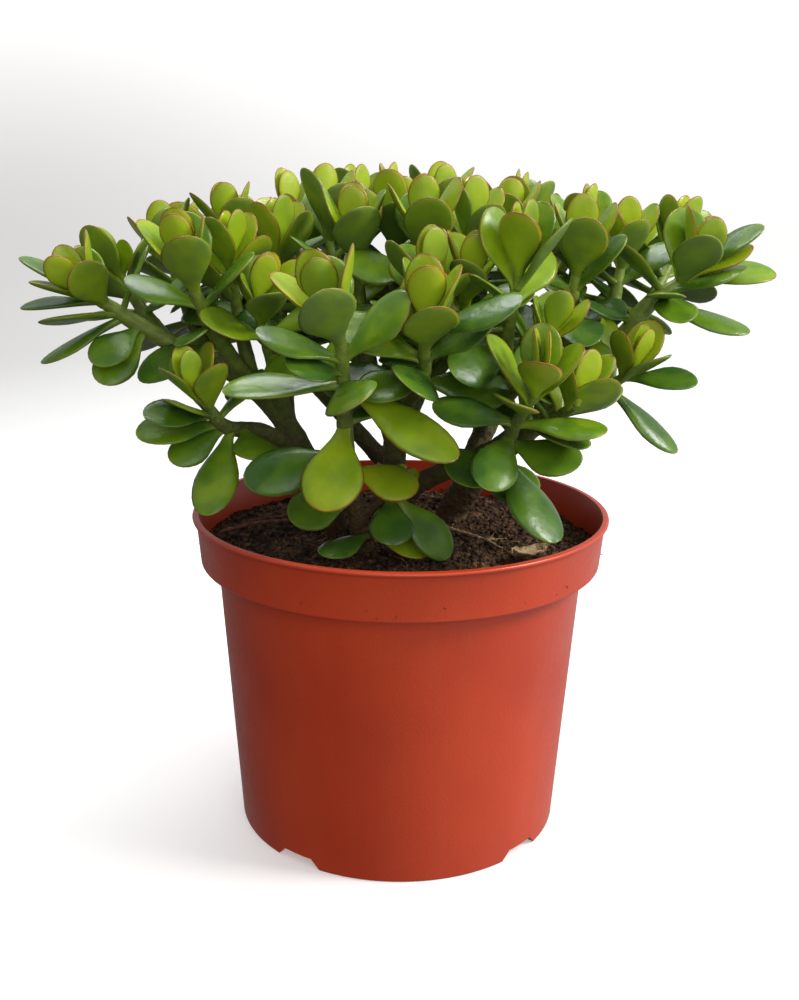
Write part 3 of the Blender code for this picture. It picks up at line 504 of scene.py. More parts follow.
def make_pot():
    cutters = bpy.data.collections.new("pot_cutters")
    scene.collection.children.link(cutters)
    for index, angle in enumerate(NOTCH_ANGLES):
        place = Matrix.Rotation(math.radians(angle), 4, "Z")
        place = place @ Matrix.Translation((BODY_BASE_RADIUS, 0.0, 0.0))
        cutters.objects.link(block(f"notch_{index}", NOTCH_GROUND_WIDTH, NOTCH_TOP_WIDTH, place))
    for index in range(DRAIN_COUNT):
        turn = math.radians(360.0 * (index + 0.5) / DRAIN_COUNT)
        bm = bmesh.new()
        bmesh.ops.create_cone(bm, segments=32, radius1=DRAIN_RADIUS, radius2=DRAIN_RADIUS,
                              depth=FOOT_HEIGHT * 3, cap_ends=True)
        bmesh.ops.translate(bm, verts=bm.verts, vec=(DRAIN_CIRCLE * math.cos(turn),
                            DRAIN_CIRCLE * math.sin(turn), FOOT_HEIGHT))
        name = f"drain_{index}"
        cutters.objects.link(bpy.data.objects.new(name, poured(bm, name)))
    pot = turned("pot_shell", pot_profile(), POT_STEPS)
    cut(pot, cutters)
    pot = settle(pot)
    for cutter in list(cutters.objects):
        bpy.data.objects.remove(cutter, do_unlink=True)
    bpy.data.collections.remove(cutters)
    pot.data.shade_smooth()
    pot.data.set_sharp_from_angle(angle=math.radians(38))
    return pot


pot = make_pot()


# %% [markdown]
# The plastic is terracotta orange with a satin skin. Its mould leaves it slightly uneven,
# so the gloss and the colour drift a little, faint upright flow lines run down the body,
# and a trace of dust sits on it.

# %% Terracotta plastic
def terracotta_plastic():
    made, tree, shader = material("terracotta_plastic", 0.4, Specular_IOR_Level=0.55)
    place = tree.nodes.new("ShaderNodeTexCoord")
    squeezed = add(tree, "ShaderNodeMapping", {"Vector": place.outputs["Object"],
                   "Scale": (60.0, 60.0, 4.0)})
    flow = add(tree, "ShaderNodeTexNoise", {"Vector": squeezed.outputs["Vector"],
               "Scale": 1.0, "Detail": 3.0})
    base = mixed(tree, patches(tree, 14.0), (0.47, 0.036, 0.005, 1.0), (0.55, 0.048, 0.007, 1.0))
    base = mixed(tree, span(tree, flow.outputs["Fac"], 0.45, 0.8, 0.0, 0.10), base,
                 (0.60, 0.10, 0.04, 1.0))
    dust = maths(tree, "MULTIPLY", specks(tree, 420.0, 0.16), patches(tree, 30.0, -0.3, 0.5))
    base = mixed(tree, maths(tree, "MAXIMUM", dust, 0.0), base, (0.52, 0.20, 0.11, 1.0))
    tree.links.new(base, shader.inputs["Base Color"])
    gloss = maths(tree, "ADD", patches(tree, 22.0, 0.34, 0.44), patches(tree, 300.0, -0.02, 0.03))
    tree.links.new(gloss, shader.inputs["Roughness"])
    height = maths(tree, "ADD", flow.outputs["Fac"], patches(tree, 700.0, 0.0, 0.5))
    bump(tree, shader, height, 0.00006)
    return made


pot.data.materials.append(terracotta_plastic())
placed(pot, "terracotta_plastic", "pot")


# %% [markdown]
# ## The soil
# Peat soil is a heap of crumbs and fibres. A bed that fills the pot gives the large
# humps: a turned shape whose top is pushed up and down by noise. Crumbs and fibres are
# then scattered over it with Geometry Nodes, which place each one at random but in the
# same way on every run, because the seed is fixed.

# %% The bed of soil
WATERING_DEPTH = 0.018
MOUND = 0.004
CLEARANCE = 0.0003
SOIL_EDGE = POT_HEIGHT - WATERING_DEPTH
SOIL_STEPS = 260
SOIL_RINGS = 84
HUMPS = ((0.0016, 38.0), (0.0012, 95.0), (0.0009, 240.0))    # height, waves to a metre


def wall_inside(height):
    """The pot's inside radius in the collar at a height."""
    ledge_top = LEDGE + WALL
    share = (height - ledge_top) / (POT_HEIGHT - ledge_top)
    return COLLAR_BOTTOM - WALL + share * COLLAR_DRAFT


def soil_height(x, y):
    """The soil's top at a place, without its crumbs."""
    share = min(1.0, math.hypot(x, y) / wall_inside(SOIL_EDGE))
    return SOIL_EDGE + MOUND * (1.0 - share * share)


def rough_height(x, y):
    """The soil's top with its humps and hollows."""
    height = soil_height(x, y)
    for rise, waves in HUMPS:
        height += rise * noise.noise(Vector((x, y, 0.3)) * waves)
    return height


def make_soil():
    radius = wall_inside(SOIL_EDGE) - CLEARANCE
    profile = [(radius * i / SOIL_RINGS, SOIL_EDGE) for i in range(SOIL_RINGS + 1)]
    profile += [(COLLAR_BOTTOM - WALL - CLEARANCE, LEDGE + WALL + 0.0013)]
    profile += [(COLLAR_BOTTOM - WALL - 0.0015, LEDGE + WALL + CLEARANCE)]
    profile += [(BODY_TOP_RADIUS - WALL - 0.0005, LEDGE + WALL - 0.001)]
    profile += [(BODY_BASE_RADIUS - WALL - 0.0008, FLOOR_TOP + 0.006)]
    profile += [(BODY_BASE_RADIUS - FOOT_WIDTH - 0.003, FLOOR_TOP + CLEARANCE)]
    profile += [(0.0, FLOOR_TOP + CLEARANCE)]
    soil = turned("soil_bed", profile, SOIL_STEPS)
    for vert in soil.data.vertices:
        if vert.co.z > SOIL_EDGE - 0.0001:
            vert.co.z = rough_height(vert.co.x, vert.co.y)
    soil.data.shade_smooth()
    return soil


soil = make_soil()


# %% Peat
def peat_soil():
    made, tree, shader = material("peat_soil", 0.9, Specular_IOR_Level=0.25)
    grain = patches(tree, 520.0, detail=6.0)
    lumps = patches(tree, 130.0, detail=4.0)
    share = maths(tree, "ADD", maths(tree, "MULTIPLY", grain, 0.55),
                  maths(tree, "MULTIPLY", lumps, 0.45))
    base = ramp(tree, share, [(0.12, (0.010, 0.005, 0.003)), (0.45, (0.040, 0.020, 0.010)),
                              (0.75, (0.105, 0.052, 0.024)), (1.0, (0.21, 0.125, 0.060))])
    tree.links.new(base, shader.inputs["Base Color"])
    tree.links.new(patches(tree, 200.0, 0.80, 0.98), shader.inputs["Roughness"])
    bump(tree, shader, share, 0.0009)
    return made


PEAT = peat_soil()
soil.data.materials.append(PEAT)


# %% Crumbs and fibres
def scatter_tree(name, shape):
    """Shapes scattered on the top of a mesh, each turned, scaled and dented at random."""
    tree, given, out = open_group(name, "GeometryNodeTree", [
        ("Geometry", "Geometry", None), ("Density", "Float", 1.0), ("Smallest", "Float", 0.001),
        ("Largest", "Float", 0.003), ("Length", "Float", 0.01), ("Lowest", "Float", 0.0),
        ("Seed", "Int", 1), ("Finish", "Material", None)], [("Geometry", "Geometry")])
    place = tree.nodes.new("GeometryNodeInputPosition")
    parts = add(tree, "ShaderNodeSeparateXYZ", {0: place.outputs[0]})
    top = add(tree, "FunctionNodeCompare", {0: parts.outputs["Z"], 1: given.outputs["Lowest"]},
              operation="GREATER_THAN")
    spots = add(tree, "GeometryNodeDistributePointsOnFaces", {
        "Mesh": given.outputs["Geometry"], "Selection": top.outputs[0],
        "Density": given.outputs["Density"], "Seed": given.outputs["Seed"]})
    size = tree.nodes.new("FunctionNodeRandomValue")
    tree.links.new(given.outputs["Smallest"], size.inputs[2])
    tree.links.new(given.outputs["Largest"], size.inputs[3])
    tree.links.new(given.outputs["Seed"], size.inputs["Seed"])
    turn = add(tree, "FunctionNodeRandomValue", {0: (0.0, 0.0, 0.0), 1: shape[1],
               "Seed": 7}, data_type="FLOAT_VECTOR")
    if shape[0] == "crumb":
        form = add(tree, "GeometryNodeMeshIcoSphere", {"Radius": 0.5, "Subdivisions": 1})
        source = form.outputs["Mesh"]
    else:
        line = add(tree, "GeometryNodeCurveArc", {"Resolution": 7, "Radius": 1.0,
                   "Sweep Angle": 1.3})
        ring = add(tree, "GeometryNodeCurvePrimitiveCircle", {"Resolution": 4, "Radius": 0.028})
        strand = add(tree, "GeometryNodeCurveToMesh", {"Curve": line.outputs["Curve"],
                     "Profile Curve": ring.outputs["Curve"], "Fill Caps": True})
        middle = add(tree, "GeometryNodeTransform", {"Geometry": strand.outputs["Mesh"],
                     "Translation": (-0.85, -0.5, 0.0)})
        source = middle.outputs["Geometry"]
    copies = add(tree, "GeometryNodeInstanceOnPoints", {"Points": spots.outputs["Points"],
                 "Instance": source, "Scale": size.outputs[1]})
    rotation = add(tree, "FunctionNodeEulerToRotation", {"Euler": turn.outputs[0]})
    tree.links.new(rotation.outputs["Rotation"], copies.inputs["Rotation"])
    real = add(tree, "GeometryNodeRealizeInstances", {"Geometry": copies.outputs["Instances"]})
    cloud = add(tree, "ShaderNodeTexNoise", {"Scale": shape[2], "Detail": 1.0})
    tree.links.new(place.outputs[0], cloud.inputs["Vector"])
    centred = add(tree, "ShaderNodeVectorMath", {0: cloud.outputs["Color"], 1: (0.5, 0.5, 0.5)},
                  operation="SUBTRACT")
    push = add(tree, "ShaderNodeVectorMath", {0: centred.outputs[0], "Scale": shape[3]},
               operation="SCALE")
    dented = add(tree, "GeometryNodeSetPosition", {"Geometry": real.outputs["Geometry"],
                 "Offset": push.outputs[0]})
    return coated(tree, dented.outputs["Geometry"], given, out)


def scattered(name, tree, finish, **values):
    """A piece made of shapes scattered over a copy of the soil's bed."""
    base = shown(name, soil.data.copy())
    base.data.materials.clear()
    return grown(base, tree, dict(values, Finish=finish, Lowest=SOIL_EDGE - 0.004))


def fibre_finish():
    made, tree, shader = material("peat_fibre", 0.85, Specular_IOR_Level=0.25)
    base = ramp(tree, patches(tree, 90.0, detail=3.0),
                [(0.0, (0.05, 0.022, 0.010)), (0.6, (0.17, 0.085, 0.035)),
                 (1.0, (0.36, 0.24, 0.12))])
    tree.links.new(base, shader.inputs["Base Color"])
    bump(tree, shader, patches(tree, 900.0), 0.0003)
    return made


CRUMB_TREE = scatter_tree("Crumbs", ("crumb", (6.28, 6.28, 6.28), 620.0, 0.0016))
FIBRE_TREE = scatter_tree("Fibres", ("fibre", (0.5, 0.5, 6.28), 160.0, 0.004))
crumbs = scattered("soil_crumbs", CRUMB_TREE, PEAT, Density=90000.0, Smallest=0.0012,
                   Largest=0.0042, Seed=5)
fibres = scattered("soil_fibres", FIBRE_TREE, fibre_finish(), Density=9000.0, Smallest=0.003,
                   Largest=0.009, Seed=12)
for thing in (crumbs, fibres):
    thing.data.shade_smooth()
placed(soil, "peat_soil", "soil")
placed(crumbs, "peat_soil")
placed(fibres, "peat_soil")


# %% [markdown]
# ## The plant's habit
# The plant is described as its grower would: each woody stem is a trunk with branches,
# given as a few points with a radius, and each branch may end in a leafy shoot. The rows
# are in millimetres, and the CAD model is grown from the same rows, by the same rules.

# %% Woody stems
PLANTING_DEPTH = 0.040
# x, y, z and radius in mm; the first branch is the trunk
STEMS = {
    "stem_front": {
        "trunk": [(-17, -26, 0, 5.2), (-19, -30, 150, 5.0), (-20, -40, 169, 4.8),
                  (-24, -55, 192, 4.6)],
        "sprout_low": [(-20, -35, 159, 2.8), (-16, -42, 161, 2.6), (-13, -47, 164, 2.4)],
        "sprout_mid": [(-20, -40, 169, 3.0), (-10, -46, 180, 2.8)],
    },
    "stem_right": {
        "trunk": [(24, 32, 0, 8.4), (27, 30, 150, 8.2), (34, 22, 168, 7.8),
                  (45, 12, 186, 7.2), (58, 4, 200, 6.8), (70, 0, 212, 6.4),
                  (84, -3, 224, 6.0), (98, -5, 238, 5.8), (110, -7, 256, 5.4)],
        "rise": [(70, 0, 212, 4.6), (76, -6, 238, 4.0), (80, -10, 262, 3.6)],
        "inner": [(58, 4, 200, 4.8), (50, -16, 224, 4.4), (47, -40, 250, 3.8)],
        "inner_low": [(50, -16, 224, 3.8), (60, -34, 240, 3.2)],
        "outer_up": [(98, -5, 238, 4.2), (102, 6, 251, 3.8), (105, 14, 265, 3.4)],
        "outer_back": [(98, -5, 238, 4.4), (116, 24, 250, 4.0), (129, 38, 268, 3.4)],
        "outer_low": [(84, -3, 224, 3.8), (96, -22, 230, 3.2)],
    },
    "stem_centre": {
        "trunk": [(2, 6, 0, 6.8), (0, 2, 150, 6.6), (-4, -4, 170, 6.2), (-3, -8, 196, 5.6),
                  (2, -14, 222, 5.0), (5, -17, 250, 4.4)],
        "forward": [(2, -14, 222, 4.2), (6, -42, 232, 4.0), (9, -66, 243, 3.6)],
        "forward_up": [(6, -42, 232, 3.6), (12, -54, 256, 3.2)],
        "low_forward": [(-4, -4, 170, 5.4), (17, -23, 187, 4.8), (36, -42, 199, 4.4)],
        "low_forward_side": [(17, -23, 187, 4.0), (44, -30, 203, 3.6), (60, -50, 216, 3.2)],
        "left_rise": [(-3, -8, 196, 4.4), (-14, -8, 230, 4.0), (-20, -6, 262, 3.6)],
        "left_back": [(-14, -8, 230, 3.8), (-28, 12, 258, 3.4)],
        "right_rise": [(-3, -8, 196, 4.4), (12, 0, 232, 3.8), (24, 4, 264, 3.4)],
        "right_front": [(2, -14, 222, 4.0), (23, -30, 248, 3.2)],
        "back_rise": [(2, -14, 222, 4.0), (-3, 8, 254, 3.4)],
    },
    "stem_left": {
        "trunk": [(-30, 10, 0, 6.8), (-34, 8, 150, 6.6), (-44, 0, 180, 6.0),
                  (-56, -6, 206, 5.6), (-72, -10, 226, 5.2), (-92, -12, 240, 4.8),
                  (-112, -14, 249, 4.4), (-130, -17, 260, 4.0)],
        "low": [(-48, -2, 190, 4.4), (-66, -22, 207, 4.0), (-82, -40, 213, 3.6)],
        "front_rise": [(-72, -10, 226, 4.2), (-88, -30, 256, 3.8)],
        "rise": [(-72, -10, 226, 4.0), (-78, -10, 254, 3.4)],
        "inner": [(-56, -6, 206, 4.0), (-62, -20, 240, 3.4)],
        "back": [(-56, -6, 206, 4.0), (-60, 8, 246, 3.6)],
        "outer_back": [(-92, -12, 240, 4.0), (-106, 12, 258, 3.4)],
        "far_back": [(-112, -14, 249, 3.8), (-127, 2, 261, 3.4)],
    },
    "stem_back": {
        "trunk": [(-2, 48, 0, 7.2), (-4, 52, 150, 7.0), (-4, 60, 180, 6.4), (0, 68, 210, 5.6)],
        "left": [(-4, 56, 168, 5.0), (-40, 46, 212, 4.4), (-72, 40, 256, 3.8)],
        "left_up": [(-40, 46, 212, 4.0), (-52, 46, 260, 3.6)],
        "left_out": [(-40, 46, 212, 4.2), (-84, 62, 250, 3.8)],
        "back_left": [(0, 68, 210, 4.6), (-48, 86, 246, 4.0), (-64, 88, 264, 3.6)],
        "back_mid_left": [(-48, 86, 246, 3.8), (-45, 98, 262, 3.4)],
        "back": [(0, 68, 210, 4.6), (-2, 88, 248, 4.0)],
        "up_left": [(0, 68, 210, 4.4), (-18, 78, 256, 3.6)],
        "up_right": [(0, 68, 210, 4.4), (14, 68, 258, 3.6)],
    },
    "stem_back_right": {
        "trunk": [(30, 60, 0, 6.8), (32, 60, 150, 6.6), (44, 64, 186, 6.0), (60, 70, 216, 5.4)],
        "up": [(60, 70, 216, 4.4), (63, 78, 256, 3.6)],
        "out_back": [(60, 70, 216, 4.4), (78, 84, 248, 3.8)],
        "out": [(60, 70, 216, 4.6), (98, 72, 250, 4.0)],
        "back": [(44, 64, 186, 4.6), (44, 92, 236, 3.8)],
        "front_up": [(44, 64, 186, 4.6), (48, 46, 230, 4.0), (50, 38, 264, 3.6)],
        "out_front": [(60, 70, 216, 4.2), (82, 52, 252, 3.6)],
    },
}

# %% Shoots
# name, stem, branch, points from the branch's end to the tip, lean (x, y), roll of the
# youngest pair, leaf size, pairs; then leaves placed one by one: foot on the stem, tip,
# width and twist about the leaf's own line, all in mm and degrees.
SHOOTS = [
    ("shoot_front", "stem_front", "trunk",
     [(-25, -70, 214), (-25, -84, 238), (-26, -95, 262), (-29, -100, 272)],
     (-0.32, -0.25), 0, 37, 5, [
        ((-25, -88, 248), (-46, -106, 254), 22, -30), ((-25, -86, 242), (-75, -98, 243), 23, -18),
        ((-25, -86, 242), (24, -104, 216), 24, 30), ((-25, -75, 223), (-34, -104, 192), 29, 0),
        ((-25, -66, 207), (-70, -78, 199), 24, -48), ((-25, -75, 223), (-6, -44, 228), 20, 0),
        ((-24, -60, 199), (8, -66, 192), 22, 35), ((-22, -48, 181), (-52, -56, 173), 22, -50)]),
    ("shoot_sprout_low", "stem_front", "sprout_low", [(-11, -51, 162)], (0.1, -0.3), 90, 16, 2, [
        ((-13, -46, 159), (-44, -50, 158), 17, -20), ((-13, -46, 159), (14, -52, 158), 16, 30)]),
    ("shoot_sprout_mid", "stem_front", "sprout_mid", [(-2, -50, 184)], (0.2, -0.3), 30, 20, 2, [
        ((-6, -48, 185), (-4, -68, 166), 21, 0), ((-4, -49, 187), (24, -58, 157), 19, 45)]),
    ("shoot_low_left", "stem_left", "low", [(-90, -50, 226), (-94, -54, 230)],
     (-0.15, -0.15), 40, 31, 4, [
        ((-87, -46, 219), (-116, -60, 224), 20, -30), ((-84, -42, 214), (-121, -56, 214), 20, -35),
        ((-82, -40, 212), (-106, -58, 205), 18, -40), ((-80, -38, 211), (-90, -78, 187), 22, 0),
        ((-74, -32, 209), (-62, -66, 206), 22, 0)]),
    ("shoot_left_front", "stem_left", "front_rise", [(-98, -44, 286)],
     (-0.15, -0.25), 0, 35, 6, []),
    ("shoot_far_left", "stem_left", "trunk", [(-141, -20, 268), (-150, -24, 272)],
     (-0.6, -0.3), 10, 34, 4, [
        ((-146, -22, 273), (-178, -22, 291), 17, -10), ((-143, -20, 269), (-180, -24, 268), 17, -12),
        ((-132, -18, 261), (-172, -28, 243), 18, -10), ((-125, -16, 257), (-142, -40, 243), 20, -25),
        ((-119, -15, 253), (-127, -46, 237), 21, -20)]),
    ("shoot_front_right", "stem_centre", "low_forward",
     [(46, -54, 207), (50, -80, 226), (57, -98, 244)], (0.05, -0.3), 80, 33, 6, [
        ((44, -52, 206), (70, -82, 173), 27, 0), ((44, -52, 206), (24, -78, 200), 26, -30),
        ((34, -40, 199), (62, -58, 188), 24, 30), ((47, -62, 212), (78, -80, 208), 24, 30)]),
    ("shoot_centre", "stem_centre", "forward", [(9, -84, 256), (9, -93, 268)],
     (0.0, -0.3), 0, 37, 6, [
        ((9, -90, 264), (47, -102, 283), 23, 30), ((8, -72, 247), (-16, -98, 240), 23, -20)]),
    ("shoot_far_right", "stem_right", "trunk", [(117, -8, 268), (130, -8, 278), (142, -8, 286)],
     (0.2, -0.2), 0, 35, 4, [
        ((140, -8, 288), (168, -8, 309), 21, 15), ((134, -8, 281), (179, -4, 287), 20, 30),
        ((119, -8, 270), (166, -18, 260), 20, 20), ((112, -7, 260), (82, -20, 270), 17, -20),
        ((126, -8, 275), (128, -38, 266), 21, 0), ((122, -8, 272), (120, -42, 280), 19, 0)]),
    ("shoot_right_inner", "stem_right", "inner", [(48, -52, 268), (51, -60, 292)],
     (0.1, -0.2), 60, 36, 6, []),
    ("shoot_left_rise", "stem_left", "rise", [(-82, -16, 288)], (0.1, -0.1), 60, 33, 5, []),
    ("shoot_top_left", "stem_centre", "left_rise", [(-24, -8, 298)], (0.0, -0.15), 0, 36, 6, []),
    ("shoot_top_mid", "stem_centre", "trunk", [(8, -18, 274), (9, -16, 302)],
     (0.0, -0.15), 10, 34, 6, []),
    ("shoot_right_rise", "stem_right", "rise", [(82, -18, 294)], (0.0, -0.15), 0, 34, 6, []),
    ("shoot_mid_left", "stem_left", "inner", [(-68, -34, 270)], (0.1, -0.3), 20, 33, 6, []),
    ("shoot_centre_right", "stem_centre", "right_front", [(30, -46, 282)],
     (0.1, -0.2), 0, 32, 6, []),
    ("shoot_centre_up", "stem_centre", "forward_up", [(12, -60, 282)], (0.0, -0.1), 40, 33, 5, []),
    ("shoot_front_right_b", "stem_centre", "low_forward_side", [(76, -74, 232)],
     (0.2, -0.1), 30, 34, 5, []),
    ("shoot_upper_right", "stem_right", "outer_up", [(110, 22, 294)], (0.0, -0.1), 20, 32, 6, []),
    ("shoot_outer_low", "stem_right", "outer_low", [(106, -34, 240)], (0.3, -0.3), 45, 32, 3, [
        ((97, -22, 235), (132, -36, 204), 18, 20), ((102, -29, 241), (135, -46, 240), 19, 25)]),
    ("shoot_inner_low", "stem_right", "inner_low", [(66, -50, 258)], (0.2, -0.3), 0, 30, 5, []),
    ("shoot_mid_left_back", "stem_left", "back", [(-62, 14, 292)], (0.0, 0.0), 50, 33, 6, []),
    ("shoot_left_back", "stem_left", "outer_back", [(-120, 32, 288)], (-0.2, 0.1), 20, 33, 6, []),
    ("shoot_far_left_back", "stem_left", "far_back", [(-142, 16, 280)],
     (-0.3, 0.0), 60, 32, 5, []),
    ("shoot_top_left_back", "stem_centre", "left_back", [(-40, 28, 306)],
     (0.0, 0.1), 30, 34, 6, []),
    ("shoot_top_back", "stem_centre", "back_rise", [(-6, 26, 308)], (0.0, 0.1), 70, 33, 6, []),
    ("shoot_top_right", "stem_centre", "right_rise", [(32, 6, 302)], (0.1, 0.0), 30, 33, 6, []),
    ("shoot_right_back", "stem_right", "outer_back", [(144, 54, 292)], (0.2, 0.1), 40, 34, 5, []),
    ("shoot_left_high", "stem_back", "left", [(-90, 38, 298)], (-0.1, 0.0), 10, 33, 6, []),
    ("shoot_mid_high", "stem_back", "left_up", [(-60, 50, 304)], (0.0, 0.1), 40, 33, 6, []),
    ("shoot_back_1", "stem_back", "left_out", [(-118, 76, 286)], (-0.3, 0.2), 0, 36, 6, []),
    ("shoot_back_2", "stem_back", "back_left", [(-86, 97, 288)], (-0.2, 0.3), 30, 36, 5, []),
    ("shoot_back_3", "stem_back", "back_mid_left", [(-42, 105, 290)], (0.0, 0.3), 60, 36, 5, []),
    ("shoot_back_4", "stem_back", "back", [(2, 95, 292)], (0.0, 0.3), 0, 36, 6, []),
    ("shoot_back_5", "stem_back", "up_left", [(-26, 88, 306)], (0.0, 0.1), 50, 34, 6, []),
    ("shoot_back_6", "stem_back", "up_right", [(20, 70, 308)], (0.0, 0.1), 20, 34, 6, []),
    ("shoot_back_7", "stem_back_right", "back", [(46, 101, 288)], (0.1, 0.3), 45, 36, 6, []),
    ("shoot_back_8", "stem_back_right", "out_back", [(92, 94, 288)], (0.3, 0.3), 10, 36, 6, []),
    ("shoot_back_9", "stem_back_right", "up", [(62, 84, 304)], (0.0, 0.1), 70, 34, 6, []),
    ("shoot_back_10", "stem_back_right", "out", [(128, 78, 286)], (0.3, 0.2), 30, 36, 6, []),
    ("shoot_back_11", "stem_back_right", "front_up", [(52, 34, 302)], (0.1, 0.0), 0, 33, 6, []),
    ("shoot_back_12", "stem_back_right", "out_front", [(92, 40, 298)], (0.1, 0.0), 60, 34, 6, []),
]

# %% [markdown]
# Leaves grow in opposite pairs, each pair a quarter turn from the last. The youngest stand
# up in a bud at the tip, and older ones are longer and open out. A leaf that would touch
# a neighbour turns a little on its foot, as real ones do, until it has room.

# %% Rules of growth
LEAF_THICKNESS = 0.0034
PETIOLE_WIDTH = 0.0050
WIDEST_AT = 0.62            # along the leaf
PETIOLE_SHARE = 0.06        # of the length, before the blade widens
EDGE_REACH = math.cos(math.radians(30.0))  # a leaf's section: flat on top, keeled below
LEAF_GAP = 0.0004
# For each leaf pair, youngest first: distance under the shoot's tip, then as shares or
# degrees its length, pitch from the shoot's axis, width and bend.
PAIR_DROP = (0.0, 0.0055, 0.0125, 0.021, 0.032, 0.045, 0.059)
PAIR_LENGTH = (0.78, 0.96, 1.04, 1.10, 1.14, 1.16, 1.14)
PAIR_PITCH = (9.0, 20.0, 35.0, 54.0, 72.0, 86.0, 96.0)
PAIR_WIDTH = (0.55, 0.60, 0.62, 0.61, 0.58, 0.55, 0.52)
PAIR_BEND = (7.0, 4.0, 0.0, -6.0, -14.0, -20.0, -24.0)
ROSETTE_PAIRS = 4
PAIR_TWIST = (0.0, 8.0, 16.0, 28.0, 38.0, 42.0, 42.0)
TWIST_RANGE = (-0.3, 1.0)   # share of the twist, towards the outside of the crown
PITCH_SPREAD = 6.0
ROLL_SPREAD = 8.0
LENGTH_SPREAD = 0.08
FOOT_SINK = (0.0003, 0.0009)  # how far a leaf's foot runs past its shoot's middle
# Turns tried, in order, when a leaf would touch a neighbour: pitch and sideways yaw.
DODGES = ((0, 0), (8, 0), (-8, 0), (0, 12), (0, -12), (16, 0), (-14, 0), (8, 18), (8, -18),
          (-8, 18), (-8, -18), (26, 0), (18, 24), (18, -24), (0, 28), (0, -28), (34, 0),
          (-22, 0), (28, 30), (28, -30), (-16, 30), (-16, -30))
SHRINKS = (1.0, 0.88, 0.76, 0.66)
SHOOT_TIP_RADIUS = 0.0021
SHOOT_GAP = 0.0010
LINE_STEPS = 2
FINE_STEPS = 6              # points to a stretch on the lines that are skinned
TUBE_SIDES = 8
TUBE_MARGIN = 1.05
OLDEST_PAIR = 6
PLACED_PAIR = 4             # age of the leaves that are placed one by one

# %% Lines of the stems and shoots
def metric(point):
    """A plant row in metres; a fourth value is a radius."""
    return tuple(value * MM for value in point)


def planted(rows):
    """Stem rows in metres, with each trunk's foot at the planting depth."""
    stems = {}
    for name, branches in rows.items():
        stems[name] = {branch: [metric(point) for point in points]
                       for branch, points in branches.items()}
        x, y, _, radius = stems[name]["trunk"][0]
        stems[name]["trunk"][0] = (x, y, SOIL_EDGE - PLANTING_DEPTH, radius)
    return stems


def smooth_path(points, steps=LINE_STEPS):
    """Points of a Catmull-Rom line through rows of x, y, z and radius."""
    rows = [Vector(p) for p in points]
    rows = [rows[0] * 2 - rows[1]] + rows + [rows[-1] * 2 - rows[-2]]
    line = []
    for a, b, c, d in zip(rows, rows[1:], rows[2:], rows[3:]):
        for i in range(steps):
            t = i / steps
            pull = (c - a) * t + (a * 2 - b * 5 + c * 4 - d) * t * t
            line.append(b + (pull + (b * 3 - a - c * 3 + d) * t ** 3) * 0.5)
    line.append(rows[-2])
    return line


def grow_lines(stems):
    """Every branch's whole line, with the green line of the shoot that it carries."""
    whole = {name: {} for name in stems}
    wood = {name: {} for name in stems}
    green = {}
    carried = {(row[1], row[2]): row for row in SHOOTS}
    for stem, branches in stems.items():
        for branch, points in branches.items():
            row = carried.get((stem, branch))
            if row is None:
                whole[stem][branch] = smooth_path(points, FINE_STEPS)
                wood[stem][branch] = smooth_path(points)
                continue
            last = points[-1][3]
            count = len(row[3])
            for index, point in enumerate(row[3], 1):
                radius = last + (SHOOT_TIP_RADIUS - last) * index / count
                points = points + [(*metric(point), radius)]
            whole[stem][branch] = smooth_path(points, FINE_STEPS)
            line = smooth_path(points)
            cut_at = (len(branches[branch]) - 2) * LINE_STEPS + 1
            away = (line[cut_at + 1].xyz - line[cut_at].xyz).normalized() * SHOOT_GAP
            wood[stem][branch] = line[:cut_at + 1]
            start = Vector((*(line[cut_at].xyz + away), line[cut_at][3]))
            green[row[0]] = [start] + line[cut_at + 1:]
    return whole, wood, {row[0]: green[row[0]] for row in SHOOTS}


def line_mesh(lines):
    """Points and faces of eight-sided tubes round some lines, for testing what touches."""
    points, faces = [], []
    for line in lines:
        first = len(points)
        for index, row in enumerate(line):
            way = line[min(index + 1, len(line) - 1)].xyz - line[max(index - 1, 0)].xyz
            turn = way.to_track_quat("Z", "Y")
            for side in range(TUBE_SIDES):
                angle = 2 * math.pi * side / TUBE_SIDES
                reach = Vector((math.cos(angle), math.sin(angle), 0.0)) * row[3] * TUBE_MARGIN
                points.append(row.xyz + turn @ reach)
        for index in range(len(line) - 1):
            low = first + index * TUBE_SIDES
            for side in range(TUBE_SIDES):
                after = (side + 1) % TUBE_SIDES
                faces.append([low + side, low + after, low + TUBE_SIDES + after,
                              low + TUBE_SIDES + side])
        last = len(points) - TUBE_SIDES
        faces.append([first + side for side in reversed(range(TUBE_SIDES))])
        faces.append([last + side for side in range(TUBE_SIDES)])
    return points, faces


# %% [markdown]
# Each leaf starts as a coarse ball. Along its length the ball is widened, flattened and
# bent. These coarse leaves only test what touches; the fine ones come later.

# %% A coarse leaf
def leaf_template():
    """The unit ball that every leaf is shaped from: four bands of three faces."""
    bm = bmesh.new()
    bmesh.ops.create_uvsphere(bm, u_segments=3, v_segments=4, radius=1.0)
    corners = [vert.co.copy() for vert in bm.verts]
    faces = [[vert.index for vert in face.verts] for face in bm.faces]
    bm.free()
    return corners, faces


